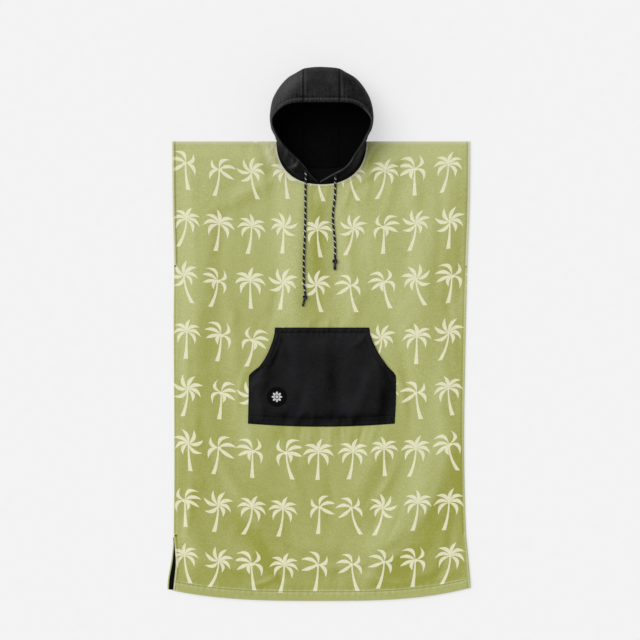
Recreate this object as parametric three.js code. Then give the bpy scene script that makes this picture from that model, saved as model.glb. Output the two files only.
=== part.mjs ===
// A hooded bath poncho in towelling, laid flat on its back with the hood opened up to the viewer.
// Millimetres. +X is to the right as it is seen, +Y runs from the hem to the hood, +Z is up.
// The sizes are measured from the middle of the shoulder line on the surface that it lies on.
import * as THREE from "three";

const { abs, acos, cos, exp, hypot, max, min, PI, sin } = Math;

// Cloth and seams
const CLOTH = 2.2;
const POCKET_CLOTH = 1.8;
const SEAM_GAP = 0.3;

// Hems: how wide the turned edge is, over what step it ends, and how much thicker it makes the wall
const HEM = { width: 25, step: 1.5, raise: 1.1 };
const SIDE_HEM = { width: 8, margin: 1, raise: 0.7 };
const POCKET_HEM = { width: 13, step: 1.5, margin: 1, raise: 0.9 };

// Body: where the side edges are, down from the shoulder line
const BODY_EDGES = table("y left right backLeft", [
  [0, -366, 364, -366],
  [-150, -364.5, 362.6, -364.5],
  [-305, -361, 357, -361],
  [-450, -362, 353, -362],
  [-700, -360.5, 349, -360.5],
  [-860, -360.5, 350.4, -360.5],
  [-963, -361.5, 354, -361.5],
  [-1028, -359.5, 360, -368],
  [-1075, -362.5, 364, -376],
  [-1135, -368.5, 367, -378.5],
]);
const HEM_LINE = { middle: -1124.6, halfWidth: 367, leftRise: 26, rightRise: 33, power: 3 };
const ARMHOLE_END = -305;
const SLIT_TOP = -963;

// The share of the way down by which the columns of a body panel's grid are evenly spaced
const EVEN_BY = 0.45;

// Necklines: half of a flattened circle that hangs from the shoulder line
const NECK_ROUNDNESS = 2.3;
const FRONT_NECK = { halfWidth: 110, depth: 105.4 };
const BACK_NECK = { halfWidth: 110, depth: 67 };
const NECK_GAP = 0.5;
const NECK_CORNER = { inset: 1.2, reach: 0.1, above: 2.5 };
const NECK_RAISE = { height: 3, reach: 38, fromShoulder: 45 };

// Soft folds of the front: middle, direction in degrees, half length, half width, height
const LOFT = 2.6;
const FOLD_FADE = { side: 60, shoulder: 50, neck: 60, hem: 90, atHem: 0.25 };
const FOLDS = table("x y angle length width height", [
  [-62, -275, 88, 190, 34, 3.6],
  [34, -300, 93, 170, 30, -1.7],
  [150, -270, -68, 190, 42, 2.4],
  [252, -420, 92, 260, 40, 2.2],
  [-285, -330, 86, 240, 36, 2.4],
  [-170, -120, 28, 90, 20, 2],
  [-152, -52, 150, 52, 12, 2.2],
  [158, -58, 24, 60, 15, 1.8],
  [-235, -640, 97, 200, 38, -1.6],
  [-190, -880, -58, 190, 44, 3.4],
  [20, -1010, 3, 210, 42, 2.8],
  [215, -905, 52, 190, 46, 3.2],
  [285, -760, 98, 180, 30, -1.6],
  [-292, -1012, -42, 105, 24, 3],
  [-115, -1000, -40, 130, 30, -1.8],
  [120, -800, 66, 110, 26, 1.8],
]);

// Kangaroo pocket: its side edges from the top down, cut away for the hands
const POCKET_EDGES = table("y left right", [
  [-455.7, -114, 116.5],
  [-475, -116.2, 120],
  [-500, -124, 130],
  [-525, -135, 143.5],
  [-550, -151.5, 161],
  [-569.6, -174.5, 179],
  [-578, -178, 182],
  [-600, -178.2, 182.3],
  [-640, -178.8, 181.7],
  [-690.5, -180, 179],
]);
const POCKET_BOTTOM = { corner: -690.5, middle: -698.2, halfWidth: 181 };
const POCKET_OPENING_END = -573;
const POCKET_DEPTH = 235;
const POCKET_LIFT = { middle: 2.4, mouth: 2.6, fromEnds: 30, fromSeams: 45 };

// Round woven patch on the pocket
const PATCH = { x: -109, y: -625, radius: 24, thick: 1.2 };

// Slit tape: the dark strip that shows where the left slit stands open
const TAPE = { x: -368, top: -1000, short: 1.5, thick: 1, narrowest: 1.4 };
const TAPE_MARGIN = { most: 4.6, openFrom: -0.6, openTo: 0.5 };

// Hood: the strip over the crown and the tunnel of the drawcord
const STRIP_HALF_WIDTH = 43.5;
const STRIP_CROWN = 4;
const STRIP_TURN = 118;
const TUNNEL = { width: 12, step: 1.5, raise: 2.2, thinnest: 0.5, thinFrom: 2.3, thinTo: 2.8 };

// How round the hood's sections are: over their bulge, and where they curl in under it
const BELLY = { side: 1.8, chin: 1.25, from: 1.6, to: 2.2 };
const CURL = { share: 0.7, limit: 0.85 };
const CLIMB_TO_FRONT = 1.7;

// Hood side panels, a row for each section from the forehead to the chin, for the half with x > 0:
// the rim point, the widest point, and where the section ends on the panel's other edges.
// "edge" is 0 to 1 down the strip's seam, to 2 on the back neckline and to 3 on the front neckline.
// Both sides share the rows over the crown, and each has its own down to the chin.
const SECTION = "rimX rimY rimZ outX outY outZ edge";
const CROWN_SECTIONS = table(SECTION, [
  [43.65, 81.8, 116, 43.65, 170.5, 52, 0],
  [58, 81.4, 116, 59, 161.5, 51, 0.1],
  [74, 79, 115, 79, 150, 50, 0.2],
  [89.5, 73.2, 113, 94, 135.8, 50, 0.3],
  [104, 62.6, 110, 107, 117.5, 50, 0.4],
  [114.8, 49.4, 107, 117, 96.8, 50, 0.51],
  [117.8, 37.9, 103, 122.3, 74, 50, 0.64],
  [114.5, 22.2, 97, 124.8, 49.5, 48, 0.79],
  [103.7, 2.8, 87, 121.5, 27.5, 40, 1],
]);
const LEFT_SECTIONS = [
  ...CROWN_SECTIONS,
  ...table(SECTION, [
    [94.6, -10.5, 80, 114.3, 15, 30, 1.4],
    [86, -20.5, 72, 110.6, 6.3, 16, 1.75],
    [77, -29, 65, 107.4, 1, 9.5, 2],
    [67.5, -37, 57, 104.3, -19.5, 10.5, 2.13],
    [57.2, -46.2, 48, 96, -42, 12, 2.29],
    [43.5, -59.5, 37.5, 81, -64, 12, 2.46],
    [34.5, -70.5, 29.5, 63, -81, 11.5, 2.61],
    [26.5, -81.5, 22.5, 46, -90.5, 11, 2.73],
    [18, -90.2, 17, 28, -97, 10.5, 2.85],
    [9.6, -97.6, 12.6, 8, -101.4, 9.8, 2.96],
  ]),
];
const RIGHT_SECTIONS = [
  ...CROWN_SECTIONS,
  ...table(SECTION, [
    [97.4, -9.6, 80, 114.3, 15, 30, 1.4],
    [90.5, -20, 72.5, 110.6, 6.3, 16, 1.75],
    [83.5, -30, 66, 107.4, 1, 9.5, 2],
    [76, -41, 59.5, 104.2, -20, 10.5, 2.13],
    [66.5, -55.5, 52, 94, -49, 12, 2.34],
    [55, -67, 43, 79, -69, 12, 2.51],
    [40.5, -74.5, 34, 58, -84, 11.5, 2.67],
    [25.5, -82, 25, 36, -94, 11, 2.81],
    [9, -91, 17.5, 12.5, -99.8, 10.3, 2.93],
    [-3.2, -98, 12.6, -3.6, -101.8, 9.8, 3],
  ]),
];
const CHIN_ANGLE = 91.5;

// Drawcords: the points that each follows, from its eyelet to its knot
const CORD_DIAMETER = 5.6;
const CORD_SIDES = 10;
const CORD_STEP = 12;
const LEFT_CORD = table("x y z", [
  [-38, -72.5, 34.2],
  [-38.1, -79, 29.6],
  [-38.2, -84, 26],
  [-38.4, -90, 20.8],
  [-38.6, -96, 14.8],
  [-38.8, -102, 11.9],
  [-39, -109, 11.2],
  [-39.2, -125, 11.4],
  [-39.3, -140, 11.7],
  [-39.3, -155, 12.1],
  [-39.4, -172, 12.4],
  [-39.6, -190, 12.6],
  [-40.6, -228, 12.9],
  [-42.3, -265, 13.1],
  [-43.2, -285, 13.1],
  [-43.4, -305, 13],
  [-43, -345, 12.7],
  [-40.6, -366, 12.4],
  [-39.4, -376.5, 13.1],
]);
const RIGHT_CORD = table("x y z", [
  [33.8, -84.4, 30.7],
  [33.7, -89, 26.2],
  [33.6, -94.5, 19.4],
  [33.6, -99, 14.6],
  [33.6, -104, 12],
  [33.6, -111, 11.4],
  [33.4, -124, 10.8],
  [32.3, -139, 10.5],
  [30.6, -155, 10.2],
  [28.7, -168, 9.95],
  [27.8, -180, 9.7],
  [27.8, -192, 9.5],
  [28.6, -205, 9.35],
  [30.2, -220, 9.2],
  [31.8, -235, 9.1],
  [33, -250, 9.05],
  [33.4, -265, 9],
  [33.1, -278, 9.3],
  [32.9, -287.5, 10.3],
]);

// Knots: where each starts, where its tail ends, and its size
const KNOT_FLATNESS = 0.7;
const KNOT_LENGTH = 2.1;
const KNOT_ARC = { from: 0.12, to: 0.84, cells: 6 };
const KNOT_SIDES = 12;
const TAIL_END = { wider: 1.05, narrower: 0.8, bevel: 1.5 };
const LEFT_KNOT = { x: -39.2, y: -376.9, z: 13.3, tailX: -46, tailY: -404, radius: 5.6, tail: 2.9 };
const RIGHT_KNOT = { x: 32.9, y: -287.9, z: 10.7, tailX: 32.2, tailY: -315, radius: 6.6, tail: 3.8 };

// Grid cells of each piece
const BACK_CELLS = { side: 5, neck: 20, rows: 12 };
const FRONT_CELLS = { side: 7, neck: 24, rows: 26 };
const POCKET_CELLS = { across: 14, down: 15 };
const PATCH_CELLS = 10;
const TAPE_CELLS = 8;
const SECTION_STEPS = 24;
const SECTIONS_PER_ROW = 2;
const OVER_CELLS = 5;
const UNDER_CELLS = 7;
const STRIP_CELLS = 6;
const STRIP_FLOOR_CELLS = 8;
const TUNNEL_ROWS = 2;

const GREEN = 0xb4b776;
const BLACK = 0x1b1b1d;

// Rows of numbers under the names of their columns.
function table(names, rows) {
  const columns = names.split(" ");
  return rows.map((row) => Object.fromEntries(row.map((value, k) => [columns[k], value])));
}

function lerp(a, b, share) {
  return a + (b - a) * share;
}

function smooth(from, to, value) {
  const share = min(1, max(0, (value - from) / (to - from)));
  return share * share * (3 - 2 * share);
}

// A column's value between two rows, on a cubic through the rows on each side.
function between(rows, column, row) {
  const last = rows.length - 1;
  const k = min(last - 1, max(0, Math.floor(row)));
  const t = row - k;
  const [a, b, c, d] = [k - 1, k, k + 1, k + 2].map((n) => rows[min(last, max(0, n))][column]);
  const slopeB = (c - a) / (k > 0 ? 2 : 1);
  const slopeC = (d - b) / (k + 2 <= last ? 2 : 1);
  const square = 3 * (c - b) - 2 * slopeB - slopeC;
  const cube = slopeB + slopeC - 2 * (c - b);
  return b + slopeB * t + square * t * t + cube * t ** 3;
}

// A column's value at a height y, where the rows run down from the highest y.
function atHeight(rows, column, y) {
  const last = rows.length - 1;
  let k = 0;
  while (k < last - 1 && rows[k + 1].y > y) k += 1;
  return between(rows, column, k + min(1, max(0, (y - rows[k].y) / (rows[k + 1].y - rows[k].y))));
}

// The hem's lower edge, which rises towards both corners.
function hemY(x) {
  const rise = x < 0 ? HEM_LINE.leftRise : HEM_LINE.rightRise;
  return HEM_LINE.middle + rise * abs(x / HEM_LINE.halfWidth) ** HEM_LINE.power;
}

// A neckline's point at an angle: 0 at the right shoulder, 90 degrees in the middle, 180 at the left.
function neckPoint(neck, degrees, inset = 0) {
  const angle = (degrees * PI) / 180;
  const x = (neck.halfWidth - inset) * Math.sign(cos(angle)) * abs(cos(angle)) ** (2 / NECK_ROUNDNESS);
  const y = -(neck.depth - inset) * abs(sin(angle)) ** (2 / NECK_ROUNDNESS);
  return [x, y];
}

// The angle at which a neckline passes a distance x from its middle.
function neckAngle(neck, x) {
  return (acos(abs(x / neck.halfWidth) ** (NECK_ROUNDNESS / 2)) * 180) / PI;
}

// How far a point lies from a neckline's middle: 1 on the neckline itself.
function neckReach(neck, x, y) {
  const across = abs(x / neck.halfWidth) ** NECK_ROUNDNESS;
  const down = abs(y / neck.depth) ** NECK_ROUNDNESS;
  return (across + down) ** (1 / NECK_ROUNDNESS);
}

// How much the hems thicken the body's panels at a point.
function bodyHem(x, y, leftColumn) {
  if (y < hemY(x) + HEM.width - HEM.step / 2) return HEM.raise;
  const open = y > ARMHOLE_END || y < SLIT_TOP;
  const fromLeft = x - atHeight(BODY_EDGES, leftColumn, y);
  const fromRight = atHeight(BODY_EDGES, "right", y) - x;
  return open && min(fromLeft, fromRight) < SIDE_HEM.width - SIDE_HEM.margin ? SIDE_HEM.raise : 0;
}

function backTop(x, y) {
  return CLOTH + (y < hemY(x) + HEM.width - HEM.step / 2 ? HEM.raise : 0);
}

// The height that soft folds add to the front, which fade out at its seams.
function foldHeight(x, y) {
  let height = LOFT;
  for (const fold of FOLDS) {
    const angle = (fold.angle * PI) / 180;
    const along = (x - fold.x) * cos(angle) + (y - fold.y) * sin(angle);
    const across = (y - fold.y) * cos(angle) - (x - fold.x) * sin(angle);
    height += fold.height * exp(-((along / fold.length) ** 2) - (across / fold.width) ** 2);
  }
  const fromSide = min(x - atHeight(BODY_EDGES, "left", y), atHeight(BODY_EDGES, "right", y) - x);
  const fromNeck = (neckReach(FRONT_NECK, x, y) - 1) * FRONT_NECK.depth;
  const atTop = smooth(0, FOLD_FADE.side, fromSide) * smooth(0, FOLD_FADE.shoulder, -y);
  const atHem = lerp(FOLD_FADE.atHem, 1, smooth(0, FOLD_FADE.hem, y - hemY(x)));
  return max(0, height) * atTop * atHem * smooth(0, FOLD_FADE.neck, fromNeck);
}

// The neck seam holds the front up a little where the hood stands on it.
function neckRaise(x, y) {
  const fromNeck = max(0, (neckReach(FRONT_NECK, x, y) - 1) * FRONT_NECK.depth);
  const nearNeck = exp(-((fromNeck / NECK_RAISE.reach) ** 2));
  return NECK_RAISE.height * nearNeck * smooth(0, NECK_RAISE.fromShoulder, -y);
}

function frontUnder(x, y) {
  return backTop(x, y) + SEAM_GAP + foldHeight(x, y) + neckRaise(x, y);
}

function frontTop(x, y) {
  return frontUnder(x, y) + CLOTH + bodyHem(x, y, "left");
}

// One closed wall between an outer and an inner grid of points, with faces that point out.
function wall(outer, inner) {
  const rows = outer.length;
  const columns = outer[0].length;
  const points = [...outer.flat(), ...inner.flat()];
  const index = [];
  const under = rows * columns;
  const quad = (a, b, c, d) => index.push(a, b, c, a, c, d);
  for (let i = 0; i < rows - 1; i += 1) {
    for (let j = 0; j < columns - 1; j += 1) {
      const a = i * columns + j;
      quad(a, a + 1, a + columns + 1, a + columns);
      quad(under + a, under + a + columns, under + a + columns + 1, under + a + 1);
    }
  }
  const border = [];
  for (let j = 0; j < columns - 1; j += 1) border.push(j);
  for (let i = 0; i < rows - 1; i += 1) border.push(i * columns + columns - 1);
  for (let j = columns - 1; j > 0; j -= 1) border.push((rows - 1) * columns + j);
  for (let i = rows - 1; i > 0; i -= 1) border.push(i * columns);
  border.forEach((a, k) => {
    const b = border[(k + 1) % border.length];
    quad(b, a, under + a, under + b);
  });
  const geometry = new THREE.BufferGeometry();
  geometry.setAttribute("position", new THREE.Float32BufferAttribute(points.flat(), 3));
  geometry.setIndex(index);
  return facingOut(geometry);
}

// The geometry with its faces turned round if they point in.
function facingOut(geometry) {
  const p = geometry.getAttribute("position");
  const index = geometry.index ? [...geometry.index.array] : [...Array(p.count).keys()];
  const corner = (n) => new THREE.Vector3().fromBufferAttribute(p, index[n]);
  let volume = 0;
  for (let n = 0; n < index.length; n += 3) {
    volume += corner(n).dot(corner(n + 1).cross(corner(n + 2)));
  }
  for (let n = 0; volume < 0 && n < index.length; n += 3) {
    [index[n + 1], index[n + 2]] = [index[n + 2], index[n + 1]];
  }
  geometry.setIndex(index);
  return geometry;
}

// A wall whose two faces are heights over the same grid of plan points.
function sheet(plan, top, under) {
  const lift = (height) => plan.map((row) => row.map(([x, y]) => [x, y, height(x, y)]));
  return wall(lift(top), lift(under));
}

// The plan of a body panel: columns from its left edge to its right, rows from shoulder to hem.
function bodyPlan(neck, leftColumn, count) {
  const tops = [];
  const edgeX = (column) => atHeight(BODY_EDGES, column, 0);
  const ends = [edgeX(leftColumn), -neck.halfWidth, neck.halfWidth, edgeX("right")];
  for (let i = 0; i < count.side; i += 1) tops.push([lerp(ends[0], ends[1], i / count.side), 0]);
  for (let i = 0; i <= count.neck; i += 1) tops.push(neckPoint(neck, 180 - (180 * i) / count.neck));
  for (let i = 1; i <= count.side; i += 1) tops.push([lerp(ends[2], ends[3], i / count.side), 0]);
  const cells = tops.length - 1;
  const place = (i, down, below) => {
    if (down === 0) return tops[i];
    const even = lerp(ends[0], ends[3], i / cells);
    const across = lerp(tops[i][0], even, smooth(0, EVEN_BY, down));
    const height = (x) => lerp(tops[i][1], hemY(x) + HEM.width, down) - below;
    const left = atHeight(BODY_EDGES, leftColumn, height(across));
    const right = atHeight(BODY_EDGES, "right", height(across));
    let x = lerp(left, right, (across - ends[0]) / (ends[3] - ends[0]));
    if (i === 1) x = left + SIDE_HEM.width;
    if (i === cells - 1) x = right - SIDE_HEM.width;
    return [x, height(x)];
  };
  const row = (down, below) => tops.map((_, i) => place(i, down, below));
  const rows = Array.from({ length: count.rows + 1 }, (_, j) => row(j / count.rows, 0));
  return [...rows, row(1, HEM.step), row(1, HEM.width)];
}

function backPanel() {
  return sheet(bodyPlan(BACK_NECK, "backLeft", BACK_CELLS), backTop, () => 0);
}

function frontPanel() {
  return sheet(bodyPlan(FRONT_NECK, "left", FRONT_CELLS), frontTop, frontUnder);
}

// How high the pocket stands off the front: nothing at its seams, most in its middle and its mouths.
function pocketLift(x, y) {
  const left = atHeight(POCKET_EDGES, "left", y);
  const right = atHeight(POCKET_EDGES, "right", y);
  const fromTop = POCKET_EDGES[0].y - y;
  const fromBottom = y - pocketBottom(x);
  const fromSide = min(x - left, right - x);
  const fromEnd = (distance) => smooth(0, POCKET_LIFT.fromEnds, distance);
  const fromSeam = (distance) => smooth(0, POCKET_LIFT.fromSeams, distance);
  const mouth = fromEnd(fromTop) * fromEnd(y - POCKET_OPENING_END) * (1 - fromSeam(fromSide));
  const middle = fromSeam(fromSide) * fromSeam(fromTop) * fromSeam(fromBottom);
  return POCKET_LIFT.mouth * mouth + POCKET_LIFT.middle * middle;
}

function pocketBottom(x) {
  return lerp(POCKET_BOTTOM.middle, POCKET_BOTTOM.corner, (x / POCKET_BOTTOM.halfWidth) ** 2);
}

function pocketUnder(x, y) {
  return frontTop(x, y) + SEAM_GAP + pocketLift(x, y);
}

// The pocket's outer face, thicker at the hems of its mouths and its top.
function pocketTop(x, y) {
  const side = min(x - atHeight(POCKET_EDGES, "left", y), atHeight(POCKET_EDGES, "right", y) - x);
  const hemmed = POCKET_HEM.width - POCKET_HEM.margin;
  const mouth = y > POCKET_OPENING_END && side < hemmed;
  const top = POCKET_EDGES[0].y - y < hemmed;
  return pocketUnder(x, y) + POCKET_CLOTH + (mouth || top ? POCKET_HEM.raise : 0);
}

function pocket() {
  const { width, step } = POCKET_HEM;
  const downs = [0, width - step, width];
  for (let j = 1; j <= POCKET_CELLS.down; j += 1) {
    downs.push(lerp(width, POCKET_DEPTH, j / POCKET_CELLS.down));
  }
  const plan = downs.map((down, row) => {
    const y = POCKET_EDGES[0].y - down;
    const left = atHeight(POCKET_EDGES, "left", y);
    const right = atHeight(POCKET_EDGES, "right", y);
    const across = [left, left + width - step, left + width];
    for (let i = 1; i < POCKET_CELLS.across; i += 1) {
      across.push(lerp(left + width, right - width, i / POCKET_CELLS.across));
    }
    across.push(right - width, right - width + step, right);
    return across.map((x) => [x, row === downs.length - 1 ? pocketBottom(x) : y]);
  });
  return sheet(plan, pocketTop, pocketUnder);
}

// A disc made from a square grid whose sides are drawn out into arcs.
function patch() {
  const plan = [];
  for (let j = 0; j <= PATCH_CELLS; j += 1) {
    const row = [];
    for (let i = 0; i <= PATCH_CELLS; i += 1) {
      const a = (2 * i) / PATCH_CELLS - 1;
      const b = (2 * j) / PATCH_CELLS - 1;
      const x = PATCH.x + PATCH.radius * a * Math.sqrt(1 - (b * b) / 2);
      row.push([x, PATCH.y + PATCH.radius * b * Math.sqrt(1 - (a * a) / 2)]);
    }
    plan.push(row);
  }
  const under = (x, y) => pocketTop(x, y) + SEAM_GAP;
  return sheet(plan, (x, y) => under(x, y) + PATCH.thick, under);
}

// The tape lies on the back between its edge and the front's, which part towards the hem.
function slitTape() {
  const place = (share, below) => {
    const height = (x) => lerp(TAPE.top, hemY(x) + HEM.width, share) - below;
    const margin = TAPE_MARGIN.most * smooth(TAPE_MARGIN.openFrom, TAPE_MARGIN.openTo, share);
    const inside = atHeight(BODY_EDGES, "left", height(TAPE.x)) - 2 * SEAM_GAP;
    const edge = atHeight(BODY_EDGES, "backLeft", height(TAPE.x)) + margin;
    const outside = min(edge, inside - TAPE.narrowest);
    return [[outside, height(outside)], [inside, height(inside)]];
  };
  const plan = Array.from({ length: TAPE_CELLS + 1 }, (_, j) => place(j / TAPE_CELLS, 0));
  plan.push(place(1, HEM.step), place(1, HEM.width - TAPE.short));
  const under = (x, y) => backTop(x, y) + SEAM_GAP;
  return sheet(plan, (x, y) => under(x, y) + TAPE.thick, under);
}

// Where a side panel's section ends, for the half with x > 0: on the strip's seam or on a neckline.
function sectionEnd(edge) {
  const nape = neckAngle(BACK_NECK, STRIP_HALF_WIDTH + SEAM_GAP / 2);
  const inset = NECK_GAP + NECK_CORNER.inset * exp(-(((edge - 2) / NECK_CORNER.reach) ** 2));
  if (edge <= 1) {
    const napeY = neckPoint(BACK_NECK, nape, NECK_GAP)[1];
    return [STRIP_HALF_WIDTH + SEAM_GAP / 2, lerp(STRIP_TURN, napeY, edge), CLOTH / 2];
  }
  if (edge <= 2) {
    const [x, y] = neckPoint(BACK_NECK, nape * (2 - edge), inset);
    return [x, y, CLOTH / 2 + frontUnder(x, y) * smooth(CLIMB_TO_FRONT, 2, edge)];
  }
  const [x, y] = neckPoint(FRONT_NECK, CHIN_ANGLE * (edge - 2), inset);
  return [x, y, frontUnder(x, y) + CLOTH / 2];
}

// One section of a side panel: over from the rim to its widest point, then under to its end.
function sectionCurve(section) {
  const steps = SECTION_STEPS;
  const rim = [section.rimX, section.rimY, section.rimZ];
  const out = [section.outX, section.outY, section.outZ];
  const end = sectionEnd(section.edge);
  const belly = lerp(BELLY.side, BELLY.chin, smooth(BELLY.from, BELLY.to, section.edge));
  const over = [];
  for (let k = 0; k <= steps; k += 1) {
    const angle = (k / steps) * (PI / 2);
    const away = sin(angle) ** (2 / belly);
    const down = cos(angle) ** (2 / belly);
    over.push([lerp(rim[0], out[0], away), lerp(rim[1], out[1], away), lerp(out[2], rim[2], down)]);
  }
  const run = hypot(end[0] - out[0], end[1] - out[1]);
  const curl = min(CURL.share * (out[2] - end[2]), CURL.limit * run) / run;
  const under = [out];
  for (let k = 1; k <= steps; k += 1) {
    const turn = (2 * k) / steps;
    const angle = min(1, turn) * (PI / 2);
    const share = turn <= 1 ? curl * (1 - cos(angle)) : lerp(curl, 1, turn - 1);
    const down = lerp(out[2], end[2], sin(angle));
    under.push([lerp(out[0], end[0], share), lerp(out[1], end[1], share), down]);
  }
  return { over, under };
}

// A curve's point at each given distance along it.
function pointsAlong(curve, distances) {
  const reached = [0];
  for (let k = 1; k < curve.length; k += 1) {
    const step = hypot(...curve[k].map((value, axis) => value - curve[k - 1][axis]));
    reached.push(reached[k - 1] + step);
  }
  const total = reached[reached.length - 1];
  return distances(total).map((distance) => {
    let k = 1;
    while (k < curve.length - 1 && reached[k] < distance) k += 1;
    const share = min(1, max(0, (distance - reached[k - 1]) / (reached[k] - reached[k - 1])));
    return curve[k].map((value, axis) => lerp(curve[k - 1][axis], value, share));
  });
}

// Rows across the tunnel first, where the wall is thick, then even ones to the widest point.
function rimDistances(total) {
  const tunnel = min(TUNNEL.width, total / 2);
  const start = tunnel + TUNNEL.step;
  const even = Array.from({ length: OVER_CELLS }, (_, k) => lerp(start, total, (k + 1) / OVER_CELLS));
  return [0, tunnel / 2, tunnel, start, ...even];
}

function evenDistances(cells) {
  return (total) => Array.from({ length: cells }, (_, k) => (total * (k + 1)) / cells);
}

// Normals of a grid of points, from the points on each side.
function gridNormals(grid) {
  const rows = grid.length;
  const columns = grid[0].length;
  const vector = (i, j) => new THREE.Vector3(...grid[i][j]);
  return grid.map((row, i) =>
    row.map((_, j) => {
      const along = vector(min(rows - 1, i + 1), j).sub(vector(max(0, i - 1), j));
      const across = vector(i, min(columns - 1, j + 1)).sub(vector(i, max(0, j - 1)));
      return along.cross(across).normalize();
    }),
  );
}

// The two faces round a grid, half the wall's thickness to each side and more in the tunnel's rows.
function hoodFaces(grid, flatNormal, tunnelShare) {
  const normals = gridNormals(grid);
  return [1, -1].map((side) =>
    grid.map((row, i) =>
      row.map((point, j) => {
        const normal = normals[i][j];
        if (flatNormal(i, j)) normal.setX(0).normalize();
        const tunnel = j <= TUNNEL_ROWS ? TUNNEL.raise * tunnelShare(i) : 0;
        const half = (CLOTH + tunnel) / 2;
        return point.map((value, axis) => value + side * half * normal.getComponent(axis));
      }),
    ),
  );
}

// A side panel of the hood, worked out for x > 0: mirror is 1 for the right one and -1 for the left.
function hoodSide(rows, mirror) {
  const names = Object.keys(rows[0]);
  const grid = [];
  const edges = [];
  const last = (rows.length - 1) * SECTIONS_PER_ROW;
  for (let i = 0; i <= last; i += 1) {
    const values = names.map((name) => [name, between(rows, name, i / SECTIONS_PER_ROW)]);
    const section = Object.fromEntries(values);
    const { over, under } = sectionCurve(section);
    grid.push([...pointsAlong(over, rimDistances), ...pointsAlong(under, evenDistances(UNDER_CELLS))]);
    edges.push(section.edge);
  }
  const cells = grid[0].length - 1;
  const onSeam = (i, j) => i === 0 || (j === cells && edges[i] <= 1);
  const tunnelShare = (i) => lerp(1, TUNNEL.thinnest, smooth(TUNNEL.thinFrom, TUNNEL.thinTo, edges[i]));
  const faces = hoodFaces(grid, onSeam, tunnelShare);
  for (const face of faces) face.flat().forEach(keepInsideNeck);
  return wall(...faces.map((face) => face.map((row) => row.map(([x, y, z]) => [mirror * x, y, z]))));
}

// Moves a point of the hood that would touch the body back inside the neckline, to keep the seam's gap.
function keepInsideNeck(point) {
  if (point[1] > NECK_CORNER.above) return;
  const neck = point[2] < CLOTH + SEAM_GAP ? BACK_NECK : FRONT_NECK;
  const limit = 1 - NECK_GAP / neck.halfWidth;
  const reach = neckReach(neck, point[0], min(0, point[1]));
  if (reach < limit) return;
  point[0] *= limit / reach;
  if (point[1] < 0) point[1] *= limit / reach;
}

// The strip over the crown: a section from the rim over and under to the nape, carried across.
function hoodStrip() {
  const grid = [];
  const side = CROWN_SECTIONS[0];
  const edge = STRIP_HALF_WIDTH - SEAM_GAP / 2;
  for (let i = 0; i <= STRIP_CELLS; i += 1) {
    const x = lerp(edge, -edge, i / STRIP_CELLS);
    const bulge = STRIP_CROWN * (1 - (x / STRIP_HALF_WIDTH) ** 2);
    const { over, under } = sectionCurve({ ...side, rimX: x, outX: x, outY: side.outY + bulge });
    const napeY = neckPoint(BACK_NECK, neckAngle(BACK_NECK, x), NECK_GAP)[1];
    const turned = under.map(([, y, z]) => [x, y, z]);
    const shares = evenDistances(STRIP_FLOOR_CELLS)(1);
    grid.push([
      ...pointsAlong(over, rimDistances),
      ...pointsAlong(turned, evenDistances(UNDER_CELLS)),
      ...shares.map((share) => [x, lerp(STRIP_TURN, napeY, share), CLOTH / 2]),
    ]);
  }
  return wall(...hoodFaces(grid, () => true, () => 1));
}

// A round cord along its points.
function cord(points) {
  const path = new THREE.CatmullRomCurve3(points.map(({ x, y, z }) => new THREE.Vector3(x, y, z)));
  const radius = CORD_DIAMETER / 2;
  const outline = Array.from({ length: CORD_SIDES }, (_, k) => {
    const angle = (2 * PI * k) / CORD_SIDES;
    return new THREE.Vector2(radius * cos(angle), radius * sin(angle));
  });
  const steps = Math.round(path.getLength() / CORD_STEP);
  const geometry = new THREE.ExtrudeGeometry(new THREE.Shape(outline), {
    extrudePath: path,
    steps,
    bevelEnabled: false,
  });
  geometry.deleteAttribute("normal");
  geometry.deleteAttribute("uv");
  return facingOut(geometry);
}

// An overhand knot and the sealed tail under it, turned about the line from the cord to the tail's tip.
function knotMesh(name, knot) {
  const length = hypot(knot.tailX - knot.x, knot.tailY - knot.y);
  const body = KNOT_LENGTH * knot.radius;
  const profile = [[0, 0]];
  for (let k = 0; k <= KNOT_ARC.cells; k += 1) {
    const angle = PI * lerp(KNOT_ARC.from, KNOT_ARC.to, k / KNOT_ARC.cells);
    profile.push([knot.radius * sin(angle), body * (0.5 - 0.5 * cos(angle))]);
  }
  profile.push([knot.tail, body]);
  profile.push([knot.tail * TAIL_END.wider, length - TAIL_END.bevel]);
  profile.push([knot.tail * TAIL_END.narrower, length], [0, length]);
  const outline = profile.map(([r, y]) => new THREE.Vector2(r, y));
  const geometry = new THREE.LatheGeometry(outline, KNOT_SIDES);
  geometry.deleteAttribute("normal");
  geometry.deleteAttribute("uv");
  const mesh = cloth(name, facingOut(geometry), BLACK);
  mesh.rotation.z = Math.atan2(knot.tailY - knot.y, knot.tailX - knot.x) - PI / 2;
  mesh.position.set(knot.x, knot.y, knot.z);
  mesh.scale.z = KNOT_FLATNESS;
  return mesh;
}

function cloth(name, geometry, color) {
  const material = new THREE.MeshStandardMaterial({ color, roughness: 0.95, metalness: 0 });
  const mesh = new THREE.Mesh(geometry, material);
  mesh.name = name;
  return mesh;
}

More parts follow.
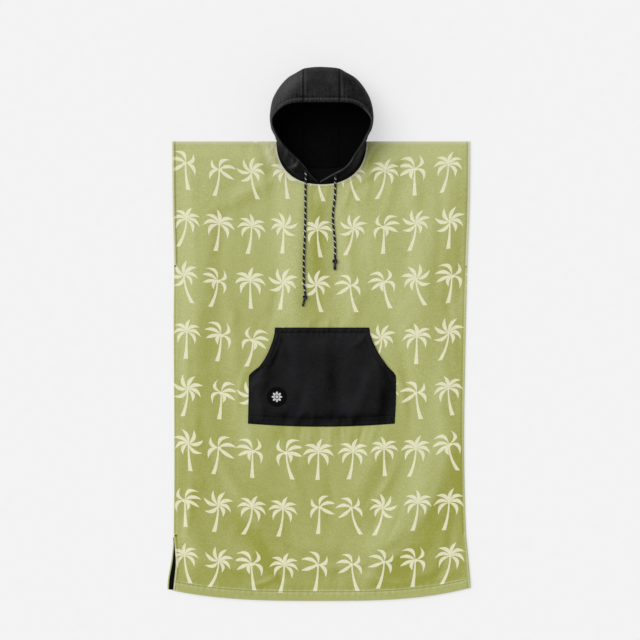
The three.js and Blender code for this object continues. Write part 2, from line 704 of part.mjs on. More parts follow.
const garment = new THREE.Group();
garment.add(cloth("back_panel", backPanel(), GREEN));
garment.add(cloth("front_panel", frontPanel(), GREEN));
garment.add(cloth("hood_left", hoodSide(LEFT_SECTIONS, -1), BLACK));
garment.add(cloth("hood_strip", hoodStrip(), BLACK));
garment.add(cloth("hood_right", hoodSide(RIGHT_SECTIONS, 1), BLACK));
garment.add(cloth("pocket", pocket(), BLACK));
garment.add(cloth("pocket_patch", patch(), BLACK));
garment.add(cloth("slit_tape_left", slitTape(), BLACK));
garment.add(cloth("cord_left", cord(LEFT_CORD), BLACK));
garment.add(cloth("cord_right", cord(RIGHT_CORD), BLACK));
garment.add(knotMesh("cord_left_knot", LEFT_KNOT));
garment.add(knotMesh("cord_right_knot", RIGHT_KNOT));

// The origin goes under the middle of the whole, on the surface that it lies on.
const bounds = new THREE.Box3().setFromObject(garment);
const middle = bounds.getCenter(new THREE.Vector3());
garment.position.set(-middle.x, -middle.y, -bounds.min.z);

const part = new THREE.Group();
part.add(garment);
export default part;
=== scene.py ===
"""The looks of a hooded bath poncho laid flat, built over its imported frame.

Shapes are worked out in millimetres from the middle of the shoulder line: x to the right, y towards the
hood, z up from the surface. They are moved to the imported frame, in metres, when a mesh is made.
"""

import bpy
import numpy as np
from bpy.props import FloatProperty, FloatVectorProperty, PointerProperty
from bpy.types import Operator, Panel, PropertyGroup
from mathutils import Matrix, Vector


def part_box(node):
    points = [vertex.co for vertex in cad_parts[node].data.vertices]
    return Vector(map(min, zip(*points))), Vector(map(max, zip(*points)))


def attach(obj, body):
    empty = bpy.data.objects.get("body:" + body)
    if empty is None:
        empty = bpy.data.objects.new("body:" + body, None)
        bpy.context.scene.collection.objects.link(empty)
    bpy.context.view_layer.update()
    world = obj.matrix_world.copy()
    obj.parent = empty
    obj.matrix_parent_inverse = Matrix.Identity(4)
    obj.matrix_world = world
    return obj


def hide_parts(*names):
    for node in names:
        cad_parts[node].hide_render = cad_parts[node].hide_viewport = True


bl_info = {
    "name": "Hooded bath poncho",
    "version": (1, 0, 0),
    "blender": (4, 5, 0),
    "location": "View3D > Sidebar > Poncho",
    "description": "Cloth, print, seams and drawcords of a hooded bath poncho laid flat",
    "category": "Object",
}

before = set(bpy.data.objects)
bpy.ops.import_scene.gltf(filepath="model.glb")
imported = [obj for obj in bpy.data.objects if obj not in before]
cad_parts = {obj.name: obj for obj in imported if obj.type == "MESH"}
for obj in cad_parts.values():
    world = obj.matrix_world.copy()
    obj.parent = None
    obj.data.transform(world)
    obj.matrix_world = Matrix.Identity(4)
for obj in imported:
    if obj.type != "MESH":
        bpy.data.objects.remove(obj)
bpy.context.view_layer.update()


def table(names, rows):
    """The rows as one array under each column's name."""
    return dict(zip(names.split(), np.array(rows, float).T))


# Cloth
SEAM_GAP = 0.3
PATCH = {"x": -109.0, "y": -625.0, "radius": 24.0, "thick": 1.2}

# Body: where the side edges are, down from the shoulder line
BODY = table(
    "y left right back_left",
    [
        [0, -366, 364, -366],
        [-150, -364.5, 362.6, -364.5],
        [-305, -361, 357, -361],
        [-450, -362, 353, -362],
        [-700, -360.5, 349, -360.5],
        [-860, -360.5, 350.4, -360.5],
        [-963, -361.5, 354, -361.5],
        [-1028, -356.5, 360, -368],
        [-1075, -360.5, 364, -376],
        [-1135, -366.5, 367, -378.5],
    ],
)
HEM_LINE = {"middle": -1124.6, "half_width": 367, "left_rise": 26, "right_rise": 33, "power": 3}
HEM = {"width": 25, "step": 1.5, "raise": 1.1, "stitch": 22.5}
SIDE_HEM = {"width": 8, "step": 1.5, "raise": 0.7, "stitch": 6}
ARMHOLE_END = -305
SLIT_TOP = -963

# Necklines: half of a flattened circle that hangs from the shoulder line
NECK_ROUNDNESS = 2.3
FRONT_NECK = {"half_width": 110, "depth": 105.4}
BACK_NECK = {"half_width": 110, "depth": 67}
NECK_GAP = 0.5
NECK_TUCK = 1.0
NECK_CORNER = {"inset": 1.2, "reach": 0.1, "above": 2.5}
NECK_RAISE = {"height": 3, "reach": 38, "from_shoulder": 45}

# Painted light: how strongly the colour follows the cloth's slopes, towards where it is painted brightest, and
# how much paler it is painted towards the top and the right
PAINTED_LIGHT = {"gain": 3.6, "right": -0.8, "up": 0.6, "top": 0.3, "level": 700, "across": 0.06}
# Patches of painted light and shade on the front's folds, paler for a height above 0 and darker below it
FRONT_LIGHT_AND_SHADE = table(
    "x y angle length width height bend",
    [
        [-77, -265, 90, 190, 34, 0.34, 0],
        [-80, -120, 90, 60, 36, 0.3, 0],
        [-14, -250, 90, 200, 20, -0.42, 0],
        [44, -230, 88, 150, 18, 0.2, 0],
        [235, -280, 73, 190, 30, 0.36, 0],
        [118, -30, 80, 40, 20, -0.4, 0],
        [310, -290, 88, 120, 22, -0.34, 0],
        [335, -400, 70, 60, 18, 0.32, 0],
        [-330, -280, 90, 150, 13, 0.3, 0],
        [-290, -560, 90, 140, 40, -0.06, 0],
        [-315, -830, 88, 110, 40, -0.22, 0],
        [-183, -700, 80, 90, 26, 0.2, 0],
        [-102, -712, 60, 24, 16, -0.4, 0],
        [-150, -1000, -55, 95, 22, -0.5, 0],
        [243, -790, 83, 120, 32, 0.32, 0],
        [150, -985, 50, 110, 28, 0.3, 0],
        [268, -960, 55, 80, 20, -0.35, 0],
        [200, -1040, 40, 70, 20, -0.4, 0],
        [335, -830, 88, 90, 18, -0.4, 0],
        [112, -1062, 50, 34, 14, 0.36, 0],
        [262, -1078, 10, 60, 16, -0.4, 0],
        [285, -620, 86, 130, 26, 0.28, 0],
        [-318, -690, 88, 100, 30, -0.1, 0],
        [-20, -1060, 4, 150, 26, 0.16, 0],
        [-250, -60, 12, 90, 20, 0.12, 0],
        [240, -40, 6, 90, 24, 0.2, 0],
    ],
)
# Painted highlights on the small creases that run down from the neckline's left end, where the hood pulls at
# it
NECK_CREASE_HIGHLIGHTS = table(
    "x y angle length width height bend",
    [
        [-134.8, -20, 92, 16, 2.8, 0.75, 0],
        [-121.5, -14, 58, 15, 3.2, 0.85, 0],
        [-114.5, -38, 84, 17, 2.8, 0.6, 0],
        [-128, -46, 70, 13, 2.8, 0.45, 0],
        [-106, -66, 74, 18, 3.5, 0.3, 0],
        [-122, -30, 80, 30, 14, 0.12, 0],
    ],
)
# How far down from the back's neckline its cloth takes the near black finish of the slit's tape, guessed
NECK_DARK_REACH = 40

# Soft folds of the front: middle, direction in degrees, half length, half width, height, bend
LOFT = 2.6
FOLD_FADE = {"side": 60, "shoulder": 50, "neck": 60, "hem": 90, "at_hem": 0.25}
FOLDS = table(
    "x y angle length width height bend",
    [
        [-62, -275, 88, 190, 34, 3.6, 0],
        [34, -300, 93, 170, 30, -1.7, 0],
        [150, -270, -68, 190, 42, 2.4, 0],
        [252, -420, 92, 260, 40, 2.2, 0],
        [-285, -330, 86, 240, 36, 2.4, 0],
        [-170, -120, 28, 90, 20, 2, 0],
        [-152, -52, 150, 52, 12, 2.2, 0],
        [158, -58, 24, 60, 15, 1.8, 0],
        [-235, -640, 97, 200, 38, -1.6, 0],
        [-190, -880, -58, 190, 44, 3.4, 0],
        [20, -1010, 3, 210, 42, 2.8, 0],
        [215, -905, 52, 190, 46, 3.2, 0],
        [285, -760, 98, 180, 30, -1.6, 0],
        [-292, -1012, -42, 105, 24, 3, 0],
        [-115, -1000, -40, 130, 30, -1.8, 0],
        [120, -800, 66, 110, 26, 1.8, 0],
    ],
)

# Finer creases of the front, laid on the folds
CREASES = table(
    "x y angle length width height bend",
    [
        [-128, -24, 118, 44, 5, 0.9, 4],
        [-141, -30, 128, 40, 5, -0.8, -3],
        [-116, -62, 138, 46, 6, 0.9, 5],
        [-150, -66, 108, 70, 9, 0.8, 8],
        [-178, -40, 96, 60, 12, -0.7, 0],
        [-104, -96, 150, 34, 6, -0.7, 3],
        [122, -34, 62, 36, 6, 0.7, -4],
        [142, -60, 70, 70, 10, -0.7, -5],
        [112, -88, 34, 38, 7, 0.7, 3],
        [176, -90, 80, 90, 13, 0.7, 8],
        [-20, -128, 92, 40, 8, -0.6, 0],
        [12, -126, 86, 30, 6, 0.5, 0],
        [66, -128, 72, 44, 8, 0.7, 4],
        [-88, -150, 96, 120, 12, 0.9, 6],
        [-16, -250, 87, 130, 13, 0.6, -8],
        [72, -330, 96, 150, 14, 0.7, 10],
        [-110, -380, 80, 90, 12, -0.6, 9],
        [232, -180, 94, 150, 15, 0.9, -10],
        [292, -210, 88, 130, 12, -0.9, 6],
        [326, -330, 90, 160, 10, 0.7, 0],
        [206, -560, 100, 130, 16, -0.8, 12],
        [-318, -190, 91, 150, 12, 0.8, 0],
        [-246, -250, 84, 130, 15, -0.7, -9],
        [-330, -520, 90, 180, 11, 0.7, 5],
        [-214, -470, 98, 110, 15, 0.6, 8],
        [-52, -716, 84, 22, 5, -0.4, 0],
        [-28, -724, 92, 30, 6, 0.45, 0],
        [-4, -718, 97, 24, 5, -0.45, 0],
        [22, -726, 88, 34, 6, 0.45, 0],
        [46, -717, 95, 22, 5, -0.6, 0],
        [70, -728, 84, 36, 7, 0.4, 0],
        [97, -719, 76, 26, 6, -0.65, 0],
        [124, -724, 70, 34, 7, 0.4, 0],
        [-96, -722, 104, 30, 7, 0.4, 0],
        [-30, -449, 90, 12, 6, 0.6, 0],
        [-8, -447, 94, 11, 5, -0.6, 0],
        [16, -449, 86, 13, 6, 0.6, 0],
        [44, -448, 92, 11, 5, -0.5, 0],
        [-196, -590, 74, 60, 8, 0.7, -6],
        [198, -606, 104, 60, 8, 0.7, 6],
        [-250, -820, -64, 130, 16, -1.1, 20],
        [-150, -930, -46, 120, 15, 1.1, 18],
        [-60, -1006, -22, 110, 14, -0.9, 14],
        [70, -1040, 8, 120, 14, 0.9, 12],
        [176, -1000, 34, 110, 15, -1.0, 16],
        [246, -930, 56, 120, 16, 1.1, 20],
        [306, -1010, 74, 90, 12, -0.9, 8],
        [-322, -900, 84, 90, 10, 0.8, 4],
        [-232, -1040, -20, 60, 9, 1.0, 6],
        [-140, -1080, 20, 42, 7, 0.8, 4],
        [-100, -1070, -64, 30, 7, -0.9, 3],
        [-66, -1086, -30, 34, 6, 0.7, 3],
        [150, -1078, -14, 60, 9, 0.8, 5],
        [262, -1074, 24, 46, 9, -0.7, 5],
        [24, -860, 96, 90, 16, -0.7, 9],
        [160, -840, 60, 70, 12, 0.7, 9],
        [-70, -810, 100, 80, 13, 0.6, -8],
    ],
)
DENTS = {"seed": 11, "count": 170, "length": (16, 60), "width": (7, 19), "height": 0.42}

# Kangaroo pocket: its side edges from the top down, cut away for the hands
POCKET = table(
    "y left right",
    [
        [-455.7, -114, 116.5],
        [-475, -116.2, 120],
        [-500, -124, 130],
        [-525, -135, 143.5],
        [-550, -151.5, 161],
        [-569.6, -174.5, 179],
        [-578, -178, 182],
        [-600, -178.2, 182.3],
        [-640, -178.8, 181.7],
        [-690.5, -180, 179],
    ],
)
POCKET_BOTTOM = {"corner": -690.5, "middle": -698.2, "half_width": 181, "stitch": 19}
POCKET_OPENING_END = -573
POCKET_DEPTH = 235
POCKET_LIFT = {"middle": 2.4, "mouth": 2.6, "from_ends": 30, "from_seams": 45}
POCKET_HEM = {"width": 13, "step": 1.5, "raise": 0.9, "stitch": 12.2}
POCKET_CREASES = table(
    "x y angle length width height bend",
    [
        [-112, -474, 140, 26, 5, 1.0, 3],
        [-98, -486, 128, 34, 6, -0.7, 3],
        [104, -480, 48, 34, 7, 0.6, 3],
        [-140, -560, 62, 44, 8, 0.7, 4],
        [146, -566, 116, 46, 8, 0.7, -4],
        [-60, -560, 84, 70, 16, 0.6, 7],
        [38, -600, 98, 80, 18, -0.6, -7],
        [96, -640, 70, 60, 14, 0.5, 6],
        [-20, -676, 90, 16, 7, 0.5, 0],
        [28, -678, 88, 16, 7, -0.5, 0],
        [74, -676, 92, 18, 8, 0.5, 0],
        [-84, -677, 90, 16, 7, -0.4, 0],
        [-148, -650, 96, 40, 10, 0.5, 3],
    ],
)

# Patches of painted light and shade on the pocket's folds, paler or darker
POCKET_LIGHT_AND_SHADE = table(
    "x y angle length width height bend",
    [
        [-50, -600, 88, 76, 26, 0.3, 0],
        [24, -575, 88, 70, 16, -0.3, 0],
        [112, -565, 70, 52, 14, 0.36, 0],
        [150, -620, 88, 60, 18, -0.3, 0],
        [-158, -588, 20, 24, 7, 0.5, 0],
        [-138, -600, 60, 30, 9, -0.4, 0],
        [-111, -522, 66, 36, 4.5, -0.6, 0],
        [-98, -502, 66, 30, 6, 0.3, 0],
        [10, -676, 0, 140, 9, -0.35, 0],
        [-30, -502, 4, 60, 16, 0.2, 0],
        [70, -640, 40, 50, 16, 0.2, 0],
    ],
)

# Slit tape: the dark strip that shows where the left slit stands open
TAPE = {"x": -368, "top": -970, "short": 1.5, "thick": 1, "narrowest": 1.4}
TAPE_MARGIN = {"most": 3.2, "open_from": -0.6, "open_to": 0.5}

# Hood: the strip over the crown, the tunnel of the drawcord and how round the sections are
STRIP_HALF_WIDTH = 43.5
STRIP_CROWN = 4
STRIP_TURN = 118
STRIP_TUCK = 0.25
TUNNEL = {"width": 12, "step": 2, "raise": 2.2, "thinnest": 0.5, "thin_from": 2.3, "thin_to": 2.8}
BELLY = {"side": 1.8, "chin": 1.25, "from": 1.6, "to": 2.2}
CURL = {"share": 0.7, "limit": 0.85}
CLIMB_TO_FRONT = 1.7
CHIN_ANGLE = 91.5

# Hood side panels, a row for each section from the forehead to the chin, for the half with x > 0.
# Both sides share the rows over the crown, and each has its own down to the chin.
SECTION = "rim_x rim_y rim_z out_x out_y out_z edge"
CROWN_ROWS = [
    [43.65, 81.8, 116, 43.65, 170.5, 52, 0],
    [58, 81.4, 116, 59, 161.5, 51, 0.1],
    [74, 79, 115, 79, 150, 50, 0.2],
    [89.5, 73.2, 113, 94, 135.8, 50, 0.3],
    [104, 62.6, 110, 107, 117.5, 50, 0.4],
    [114.8, 49.4, 107, 117, 96.8, 50, 0.51],
    [117.8, 37.9, 103, 122.3, 74, 50, 0.64],
    [114.5, 22.2, 97, 124.8, 49.5, 48, 0.79],
    [103.7, 2.8, 87, 121.5, 27.5, 40, 1],
]
LEFT_SECTIONS = table(
    SECTION,
    CROWN_ROWS
    + [
        [94.6, -10.5, 80, 114.3, 15, 30, 1.4],
        [86, -20.5, 72, 110.6, 6.3, 16, 1.75],
        [77, -29, 65, 107.4, 1, 9.5, 2],
        [67.5, -37, 57, 104.3, -19.5, 10.5, 2.13],
        [57.2, -46.2, 48, 96, -42, 12, 2.29],
        [43.5, -59.5, 37.5, 81, -64, 12, 2.46],
        [34.5, -70.5, 29.5, 63, -81, 11.5, 2.61],
        [26.5, -81.5, 22.5, 46, -90.5, 11, 2.73],
        [18, -90.2, 17, 28, -97, 10.5, 2.85],
        [9.6, -97.6, 12.6, 8, -101.4, 9.8, 2.96],
    ],
)
RIGHT_SECTIONS = table(
    SECTION,
    CROWN_ROWS
    + [
        [97.4, -9.6, 80, 114.3, 15, 30, 1.4],
        [90.5, -20, 72.5, 110.6, 6.3, 16, 1.75],
        [83.5, -30, 66, 107.4, 1, 9.5, 2],
        [76, -41, 59.5, 104.2, -20, 10.5, 2.13],
        [66.5, -55.5, 52, 94, -49, 12, 2.34],
        [55, -67, 43, 79, -69, 12, 2.51],
        [40.5, -74.5, 34, 58, -84, 11.5, 2.67],
        [25.5, -82, 25, 36, -94, 11, 2.81],
        [9, -91, 17.5, 12.5, -99.8, 10.3, 2.93],
        [-3.2, -98, 12.6, -3.6, -101.8, 9.8, 3],
    ],
)

# Creases of the hood: the section's number, the share of the way from rim to neck, then as above
LEFT_HOOD_CREASES = table(
    "section share angle length width height",
    [
        [1.2, 0.22, 0, 0.20, 0.9, 1.3],
        [3.0, 0.30, 0, 0.24, 0.8, -1.0],
        [5.2, 0.26, 0, 0.22, 0.9, 1.1],
        [7.4, 0.35, 0, 0.24, 0.8, -1.2],
        [9.3, 0.30, 0, 0.20, 0.6, 1.1],
        [11.4, 0.26, 0, 0.16, 0.45, 1.4],
        [12.2, 0.34, 0, 0.14, 0.35, -1.3],
        [12.9, 0.24, 0, 0.12, 0.35, 1.5],
        [13.7, 0.32, 0, 0.14, 0.40, -1.2],
        [14.6, 0.22, 0, 0.16, 0.45, 1.1],
        [15.8, 0.30, 0, 0.16, 0.50, -0.8],
    ],
)
RIGHT_HOOD_CREASES = table(
    "section share angle length width height",
    [
        [1.5, 0.24, 0, 0.22, 0.9, 1.1],
        [3.6, 0.28, 0, 0.20, 0.8, -1.1],
        [6.1, 0.30, 0, 0.24, 0.9, 1.2],
        [8.5, 0.32, 0, 0.22, 0.7, -1.1],
        [10.6, 0.28, 0, 0.20, 0.5, 1.0],
        [12.6, 0.16, 0, 0.12, 0.9, 1.8],
        [13.4, 0.42, 0, 0.16, 0.6, -1.2],
        [14.8, 0.18, 0, 0.12, 0.7, 1.3],
        [16.2, 0.34, 0, 0.16, 0.5, -0.8],
    ],
)
# Patches of painted light and shade on the hood, paler for a height above 0 and darker below it
HOOD_LIGHT_AND_SHADE = table(
    "x y angle length width height bend",
    [
        [-62, 138, 30, 26, 14, 0.4, 0],
        [-92, 96, 62, 44, 13, 0.3, 0],
        [108, 95, -60, 50, 10, -0.3, 0],
        [64, 120, 10, 24, 12, 0.14, 0],
        [4, 130, 84, 34, 16, 0.1, 0],
    ],
)
# Painted highlights on the crests of small crumples in its lapels
HOOD_CRUMPLE_HIGHLIGHTS = table(
    "x y angle length width height bend",
    [
        [-64, -60, 38, 11, 3.6, 1.0, 3],
        [-72, -52, 80, 9, 3, 0.5, 0],
        [-86, -30, 68, 12, 3.6, 0.35, 0],
        [-76, -68, 130, 9, 3, 0.25, 0],
        [92, -36, 62, 20, 3.4, 0.4, 2],
        [84, -56, 50, 12, 3, 0.22, 0],
    ],
)
GATHERS = {"pitch": 8.5, "drift": 41, "height": 0.6, "reach": 20}

# Drawcords: the points that each follows, from its eyelet to its knot
LEFT_CORD = table(
    "x y z",
    [
        [-38, -72.5, 34.2],
        [-38.1, -79, 29.6],
        [-38.2, -84, 26],
        [-38.4, -90, 20.8],
        [-38.6, -96, 14.8],
        [-38.8, -102, 11.9],
        [-39, -109, 11.2],
        [-39.2, -125, 11.4],
        [-39.3, -140, 11.7],
        [-39.3, -155, 12.1],
        [-39.4, -172, 12.4],
        [-39.6, -190, 12.6],
        [-40.6, -228, 12.9],
        [-42.3, -265, 13.1],
        [-43.2, -285, 13.1],
        [-43.4, -305, 13],
        [-43, -345, 12.7],
        [-40.6, -366, 12.4],
        [-39.4, -376.5, 13.1],
    ],
)
RIGHT_CORD = table(
    "x y z",
    [
        [33.8, -84.4, 30.7],
        [33.7, -89, 26.2],
        [33.6, -94.5, 19.4],
        [33.6, -99, 14.6],
        [33.6, -104, 12],
        [33.6, -111, 11.4],
        [33.4, -124, 10.8],
        [32.3, -139, 10.5],
        [30.6, -155, 10.2],
        [28.7, -168, 9.95],
        [27.8, -180, 9.7],
        [27.8, -192, 9.5],
        [28.6, -205, 9.35],
        [30.2, -220, 9.2],
        [31.8, -235, 9.1],
        [33, -250, 9.05],
        [33.4, -265, 9],
        [33.1, -278, 9.3],
        [32.9, -287.5, 10.3],
    ],
)
LEFT_KNOT = {"x": -39.2, "y": -376.9, "z": 13.3, "tail_x": -46, "tail_y": -404, "size": 5.6, "tail": 2.7}
RIGHT_KNOT = {"x": 32.9, "y": -287.9, "z": 10.7, "tail_x": 32.2, "tail_y": -315, "size": 6.6, "tail": 3.3}
KNOT_FLATNESS = 0.72

# An overhand knot's own line in knot sizes: along the cord, across it and up
KNOT_LINE = table(
    "along across up",
    [
        [0.00, 0.00, 0.00],
        [0.16, 0.10, 0.05],
        [0.45, 0.44, 0.22],
        [0.95, 0.56, 0.30],
        [1.35, 0.24, 0.52],
        [1.30, -0.30, 0.50],
        [0.95, -0.58, 0.12],
        [0.62, -0.40, -0.36],
        [0.72, 0.14, -0.50],
        [1.12, 0.46, -0.30],
        [1.52, 0.26, -0.06],
        [1.95, 0.02, 0.00],
        [2.60, 0.00, 0.00],
    ],
)

# Print: palms in plain rows and columns
PRINT = {"left": -371, "top": -8, "across": 80.5, "down": 137, "crown": 48, "trunk": 66}
PRINT_SAG = {"most": 21, "half_width": 330}
FROND_HALF_WIDTH = 4.3
TRUNK = {"top": 1.8, "foot": 5.4, "lean": 46}

# Fronds of four kinds of palm, seven to each: the tip's direction, its distance, and how far the
# frond bows to its left
PALMS = [
    [
        [18, 38, -6],
        [66, 36, -6],
        [112, 37, -5],
        [155, 38, -6],
        [200, 34, -8],
        [242, 29, -7],
        [328, 37, -8],
    ],
    [
        [77, 34, 4],
        [26, 36, 8],
        [347, 37, 9],
        [306, 36, 9],
        [154, 36, -8],
        [193, 37, -9],
        [234, 36, -9],
    ],
    [
        [148, 42, -14],
        [174, 42, -7],
        [203, 39, -2],
        [72, 33, -13],
        [303, 37, 12],
        [259, 26, -6],
        [337, 8, 0],
    ],
    [
        [49, 37, 11],
        [11, 42, 7],
        [336, 43, -2],
        [133, 29, 9],
        [236, 36, -8],
        [337, 8, 0],
        [337, 8, 0],
    ],
]
FROND_SCALES = (720, 100, 60)

# The camera looks straight down at this point from this height, in millimetres like the cloth
CAMERA = {"x": -3.7, "y": -437.3, "z": 4356, "lens": 100, "sensor": 36}
# The floor, in metres, reaches far enough to fill low views
FLOOR = {"half_width": 25.0, "z": -0.0003}


DEGREE = float(np.pi / 180)


class PonchoCloth(PropertyGroup):
    wall: FloatProperty(
        name="Cloth", description="Thickness of the towelling", default=0.0022, unit="LENGTH"
    )
    pocket_wall: FloatProperty(
        name="Pocket cloth", description="Thickness of the pocket", default=0.0018, unit="LENGTH"
    )
    creasing: FloatProperty(
        name="Creasing", description="How deep the fine creases are, 1 as laid out", default=1.4
    )
    pile: FloatProperty(
        name="Pile", description="How far the pile roughens the cloth", default=0.0009, unit="LENGTH"
    )


class PonchoColours(PropertyGroup):
    lit_green: FloatVectorProperty(
        name="Lit green", description="Ground where the pile faces the light",
        default=(0.49, 0.515, 0.225), subtype="COLOR",
    )
    shaded_green: FloatVectorProperty(
        name="Shaded green", description="Ground where the pile faces away",
        default=(0.325, 0.335, 0.06), subtype="COLOR",
    )
    cream: FloatVectorProperty(
        name="Cream", description="Palms of the print", default=(0.8, 0.785, 0.555), subtype="COLOR"
    )
    hood: FloatVectorProperty(
        name="Hood", description="Towelling of the hood", default=(0.010, 0.0098, 0.0102), subtype="COLOR"
    )
    pocket: FloatVectorProperty(
        name="Pocket", description="Towelling of the pocket", default=(0.0044, 0.0043, 0.0047), subtype="COLOR"
    )
    cord: FloatVectorProperty(
        name="Cord", description="Braid of the drawcord", default=(0.006, 0.006, 0.007), subtype="COLOR"
    )
    fleck: FloatVectorProperty(
        name="Fleck", description="Flecks of the drawcord", default=(0.78, 0.78, 0.77), subtype="COLOR"
    )


class PonchoCord(PropertyGroup):
    diameter: FloatProperty(
        name="Diameter", description="Thickness of the drawcord", default=0.0056, unit="LENGTH"
    )
    pitch: FloatProperty(
        name="Fleck pitch", description="From one fleck to the next", default=0.0145, unit="LENGTH"
    )


def lerp(a, b, share):
    return a + (b - a) * share


def smooth(start, end, value):
    """0 before start, 1 after end, and a soft step between."""
    share = np.clip((value - start) / (end - start), 0, 1)
    return share * share * (3 - 2 * share)


def through(values, row):
    """A cubic through the values, read at a row number: each stretch leans on its neighbours."""
    last = len(values) - 1
    k = np.clip(np.floor(row).astype(int), 0, last - 1)
    t = row - k
    before = values[np.maximum(k - 1, 0)]
    start = values[k]
    end = values[k + 1]
    after = values[np.minimum(k + 2, last)]
    slope_in = (end - before) / np.where(k > 0, 2, 1)
    slope_out = (after - start) / np.where(k + 2 <= last, 2, 1)
    square = 3 * (end - start) - 2 * slope_in - slope_out
    cube = slope_in + slope_out - 2 * (end - start)
    return start + slope_in * t + square * t**2 + cube * t**3


def at_height(rows, column, y):
    """A column's value at a height y, where the rows run down from the highest."""
    return through(rows[column], np.interp(-y, -rows["y"], np.arange(len(rows["y"]))))


def ridges(rows, x, y):
    """The sum of ridges: height * exp(-(along / length)^2 - (across / width)^2), bent into a bow."""
    angle = np.radians(rows["angle"])
    from_x = x[..., None] - rows["x"]
    from_y = y[..., None] - rows["y"]
    along = (from_x * np.cos(angle) + from_y * np.sin(angle)) / rows["length"]
    across = from_y * np.cos(angle) - from_x * np.sin(angle) - rows["bend"] * along**2
    return (rows["height"] * np.exp(-(along**2) - (across / rows["width"]) ** 2)).sum(-1)


def scattered_dents():
    """Small uneven ridges and troughs all over the body, the same in each run."""
    chance = np.random.default_rng(DENTS["seed"])
    count = DENTS["count"]
    return {
        "x": chance.uniform(-360, 360, count),
        "y": chance.uniform(-1110, -10, count),
        "angle": chance.uniform(50, 130, count),
        "length": chance.uniform(*DENTS["length"], count),
        "width": chance.uniform(*DENTS["width"], count),
        "height": chance.uniform(-1, 1, count) * DENTS["height"],
        "bend": chance.uniform(-6, 6, count),
    }


DENT_ROWS = scattered_dents()


def hem_y(x):
    """The hem's lower edge, which rises towards both corners."""
    rise = np.where(x < 0, HEM_LINE["left_rise"], HEM_LINE["right_rise"])
    return HEM_LINE["middle"] + rise * np.abs(x / HEM_LINE["half_width"]) ** HEM_LINE["power"]


def neck_point(neck, degrees, inset=0.0):
    """A neckline's point: a superellipse, 0 degrees at the right shoulder and 90 in the middle."""
    angle = np.radians(degrees)
    power = 2 / NECK_ROUNDNESS
    x = (neck["half_width"] - inset) * np.sign(np.cos(angle)) * np.abs(np.cos(angle)) ** power
    return x, -(neck["depth"] - inset) * np.abs(np.sin(angle)) ** power


def neck_angle(neck, x):
    return np.degrees(np.arccos(np.abs(x / neck["half_width"]) ** (NECK_ROUNDNESS / 2)))


def neck_reach(neck, x, y):
    """How far a point lies from a neckline's middle: 1 on the neckline itself."""
    across = np.abs(x / neck["half_width"]) ** NECK_ROUNDNESS
    down = np.abs(y / neck["depth"]) ** NECK_ROUNDNESS
    return (across + down) ** (1 / NECK_ROUNDNESS)


def from_sides(rows, left, y, x):
    """The distance to the nearer side edge."""
    return np.minimum(x - at_height(rows, left, y), at_height(rows, "right", y) - x)


def from_neck(x, y):
    return (neck_reach(FRONT_NECK, x, y) - 1) * FRONT_NECK["depth"]


def groove(distance, depth, half_width):
    """A soft trough along a line: depth * exp(-(distance / half width)^2)."""
    return depth * np.exp(-((distance / half_width) ** 2))


def rounding(distance, radius):
    """How full the wall is near an edge: a quarter circle, from 0.3 at the edge to 1."""
    share = 1 - np.clip(distance / radius, 0, 1)
    return 0.3 + 0.7 * np.sqrt(1 - share**2)


def back_top(x, y, cloth):
    hem = 1 - smooth(HEM["width"] - HEM["step"], HEM["width"], y - hem_y(x))
    return cloth + HEM["raise"] * hem


def fold_height(x, y):
    """The height that soft folds add to the front, which fade out at its seams."""
    side = smooth(0, FOLD_FADE["side"], from_sides(BODY, "left", y, x))
    shoulder = smooth(0, FOLD_FADE["shoulder"], -y)
    neck = smooth(0, FOLD_FADE["neck"], from_neck(x, y))
    hem = lerp(FOLD_FADE["at_hem"], 1, smooth(0, FOLD_FADE["hem"], y - hem_y(x)))
    return np.maximum(0, LOFT + ridges(FOLDS, x, y)) * side * shoulder * neck * hem


def crease_height(x, y):
    """Fine creases, held flat at the edges and under the drawcords."""
    side = smooth(0, 16, from_sides(BODY, "left", y, x))
    ends = smooth(0, 10, -y) * smooth(-2, 12, from_neck(x, y)) * smooth(6, 30, y - hem_y(x))
    left = np.exp(-(((x + 41) / 9) ** 2)) * smooth(-415, -400, y)
    right = np.exp(-(((x - 31) / 9) ** 2)) * smooth(-325, -310, y)
    under_cords = 1 - 0.85 * (left + right)
    return (ridges(CREASES, x, y) + ridges(DENT_ROWS, x, y)) * side * ends * under_cords


def neck_raise(x, y):
    """The neck seam holds the front up a little where the hood stands on it."""
    near = np.exp(-((np.maximum(0, from_neck(x, y)) / NECK_RAISE["reach"]) ** 2))
    return NECK_RAISE["height"] * near * smooth(0, NECK_RAISE["from_shoulder"], -y)


def front_under(x, y, cloth):
    return back_top(x, y, cloth) + SEAM_GAP + fold_height(x, y) + neck_raise(x, y)


def front_shape(x, y, cloth, creasing):
    """The front's under and upper heights, with its hems and the grooves of their stitching."""
    under = front_under(x, y, cloth)
    lift = creasing * crease_height(x, y)
    lift = np.maximum(lift, -0.8 * fold_height(x, y))
    side = from_sides(BODY, "left", y, x)
    low = y - hem_y(x)
    open_edge = (y > ARMHOLE_END) | (y < SLIT_TOP)
    side_hem = open_edge * (1 - smooth(SIDE_HEM["width"] - SIDE_HEM["step"], SIDE_HEM["width"], side))
    hem = 1 - smooth(HEM["width"] - HEM["step"], HEM["width"] + HEM["step"], low)
    thick = cloth + np.maximum(HEM["raise"] * hem, SIDE_HEM["raise"] * side_hem)
    sewn = groove(low - HEM["stitch"], 0.9, 2.2) + open_edge * groove(side - SIDE_HEM["stitch"], 0.6, 1.8)
    ripple = 0.3 * np.sin(x / 2.3 + 2 * np.sin(x / 17)) * groove(low - HEM["stitch"], 1, 9)
    ripple += 0.2 * np.sin(y / 2.1 + 2 * np.sin(y / 13)) * groove(side - 7, 1, 7) * open_edge
    closed = groove(side - 5, 0.5, 3) * ~open_edge
    return under + lift, under + lift + thick - sewn - closed + ripple


